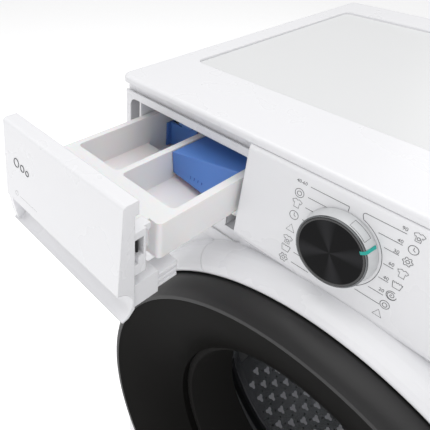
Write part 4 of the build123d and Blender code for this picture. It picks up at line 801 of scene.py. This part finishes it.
# Dark sleeve that lines the side of the glass bowl, its colour painted lighter than the door
# ring's to make up for the shade in the bowl
glass_low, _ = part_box("door_glass")
SLEEVE_START, SLEEVE_END = 1.0, 66.0       # depth behind the glass's seat, mm
SLEEVE_R, SLEEVE_WALL, FLANGE_R = 146.2, 1.4, 153.4
SLEEVE_TAPER = 0.171                       # radius lost for each millimetre of depth


def sleeve_point(radius, depth):
    """Profile point of the sleeve, from millimetres out and behind the glass's seat."""
    return radius * MM, glass_low.y + depth * MM


sleeve_profile = [sleeve_point(FLANGE_R, -0.4), sleeve_point(SLEEVE_R + 0.2, -0.4)]
for depth in (SLEEVE_START, SLEEVE_END):
    sleeve_profile.append(sleeve_point(SLEEVE_R - SLEEVE_TAPER * depth, depth))
for depth in (SLEEVE_END, SLEEVE_START):
    sleeve_profile.append(sleeve_point(SLEEVE_R + SLEEVE_WALL - SLEEVE_TAPER * depth, depth))
sleeve_profile.append(sleeve_point(FLANGE_R, 0.2))
from_bmesh("door_bowl_sleeve", lathe(sleeve_profile, ROUND_STEPS, about_drum), bowl_black_painted_lighter,
           "door_gloss", "door")

# ---- Camera, light and floor ----
camera_data = bpy.data.cameras.new("camera")
camera_data.lens = 40.5
camera_data.sensor_width = 36
camera_data.shift_x = 0.1512
camera_data.shift_y = -0.1744
camera = bpy.data.objects.new("camera", camera_data)
camera.location = (0.0968, -0.4979, 1.0550)
camera.rotation_euler = [math.radians(a) for a in (59.953, -1.059, 48.321)]
bpy.context.scene.collection.objects.link(camera)
bpy.context.scene.camera = camera


def softbox(name, size, power, place, aim, color=(1, 1, 1)):
    """Large square light at a place, turned towards a point."""
    light = bpy.data.lights.new(name, "AREA")
    light.shape = "RECTANGLE"
    light.size, light.size_y = size
    light.energy = power
    light.color = color
    lamp = bpy.data.objects.new(name, light)
    lamp.location = place
    lamp.rotation_euler = (Vector(aim) - Vector(place)).to_track_quat("-Z", "Y").to_euler()
    bpy.context.scene.collection.objects.link(lamp)


softbox("light_top", (2.6, 2.6), 33, (0.1, 0.1, 2.7), (0, 0, 0.8))
softbox("light_left", (1.8, 2.2), 13, (-2.3, -1.5, 1.7), (0, 0, 0.6))
softbox("light_front", (1.6, 1.6), 6, (0.5, -2.6, 1.4), (0, 0, 0.6))
softbox("light_right", (1.6, 2.2), 8, (2.4, -0.9, 1.6), (0, 0, 0.6))
softbox("light_back", (2.0, 2.0), 8, (0.2, 2.6, 1.8), (0, 0, 0.6))

world = bpy.data.worlds.new("studio")
world.use_nodes = True
world.node_tree.nodes["Background"].inputs["Color"].default_value = (1.0, 1.0, 1.0, 1)
world.node_tree.nodes["Background"].inputs["Strength"].default_value = 0.5
bpy.context.scene.world = world
bpy.context.scene.view_settings.view_transform = "Standard"
bpy.context.scene.view_settings.look = "None"

floor_paint = shader("studio_floor", (0.93, 0.93, 0.935), 0.7, grain=0.05, grain_scale=60,
                     Emission_Color=(1, 1, 1, 1), Emission_Strength=0.4)
floor_mesh = bpy.data.meshes.new("studio_floor")
FLOOR = 14.0               # half the floor's side, metres
floor_mesh.from_pydata([(-FLOOR, -FLOOR, 0), (FLOOR, -FLOOR, 0), (FLOOR, FLOOR, 0),
                        (-FLOOR, FLOOR, 0)], [], [(0, 1, 2, 3)])
floor_mesh.materials.append(floor_paint)
floor = bpy.data.objects.new("studio_floor", floor_mesh)
floor.location.z = -0.5 * MM
bpy.context.scene.collection.objects.link(floor)
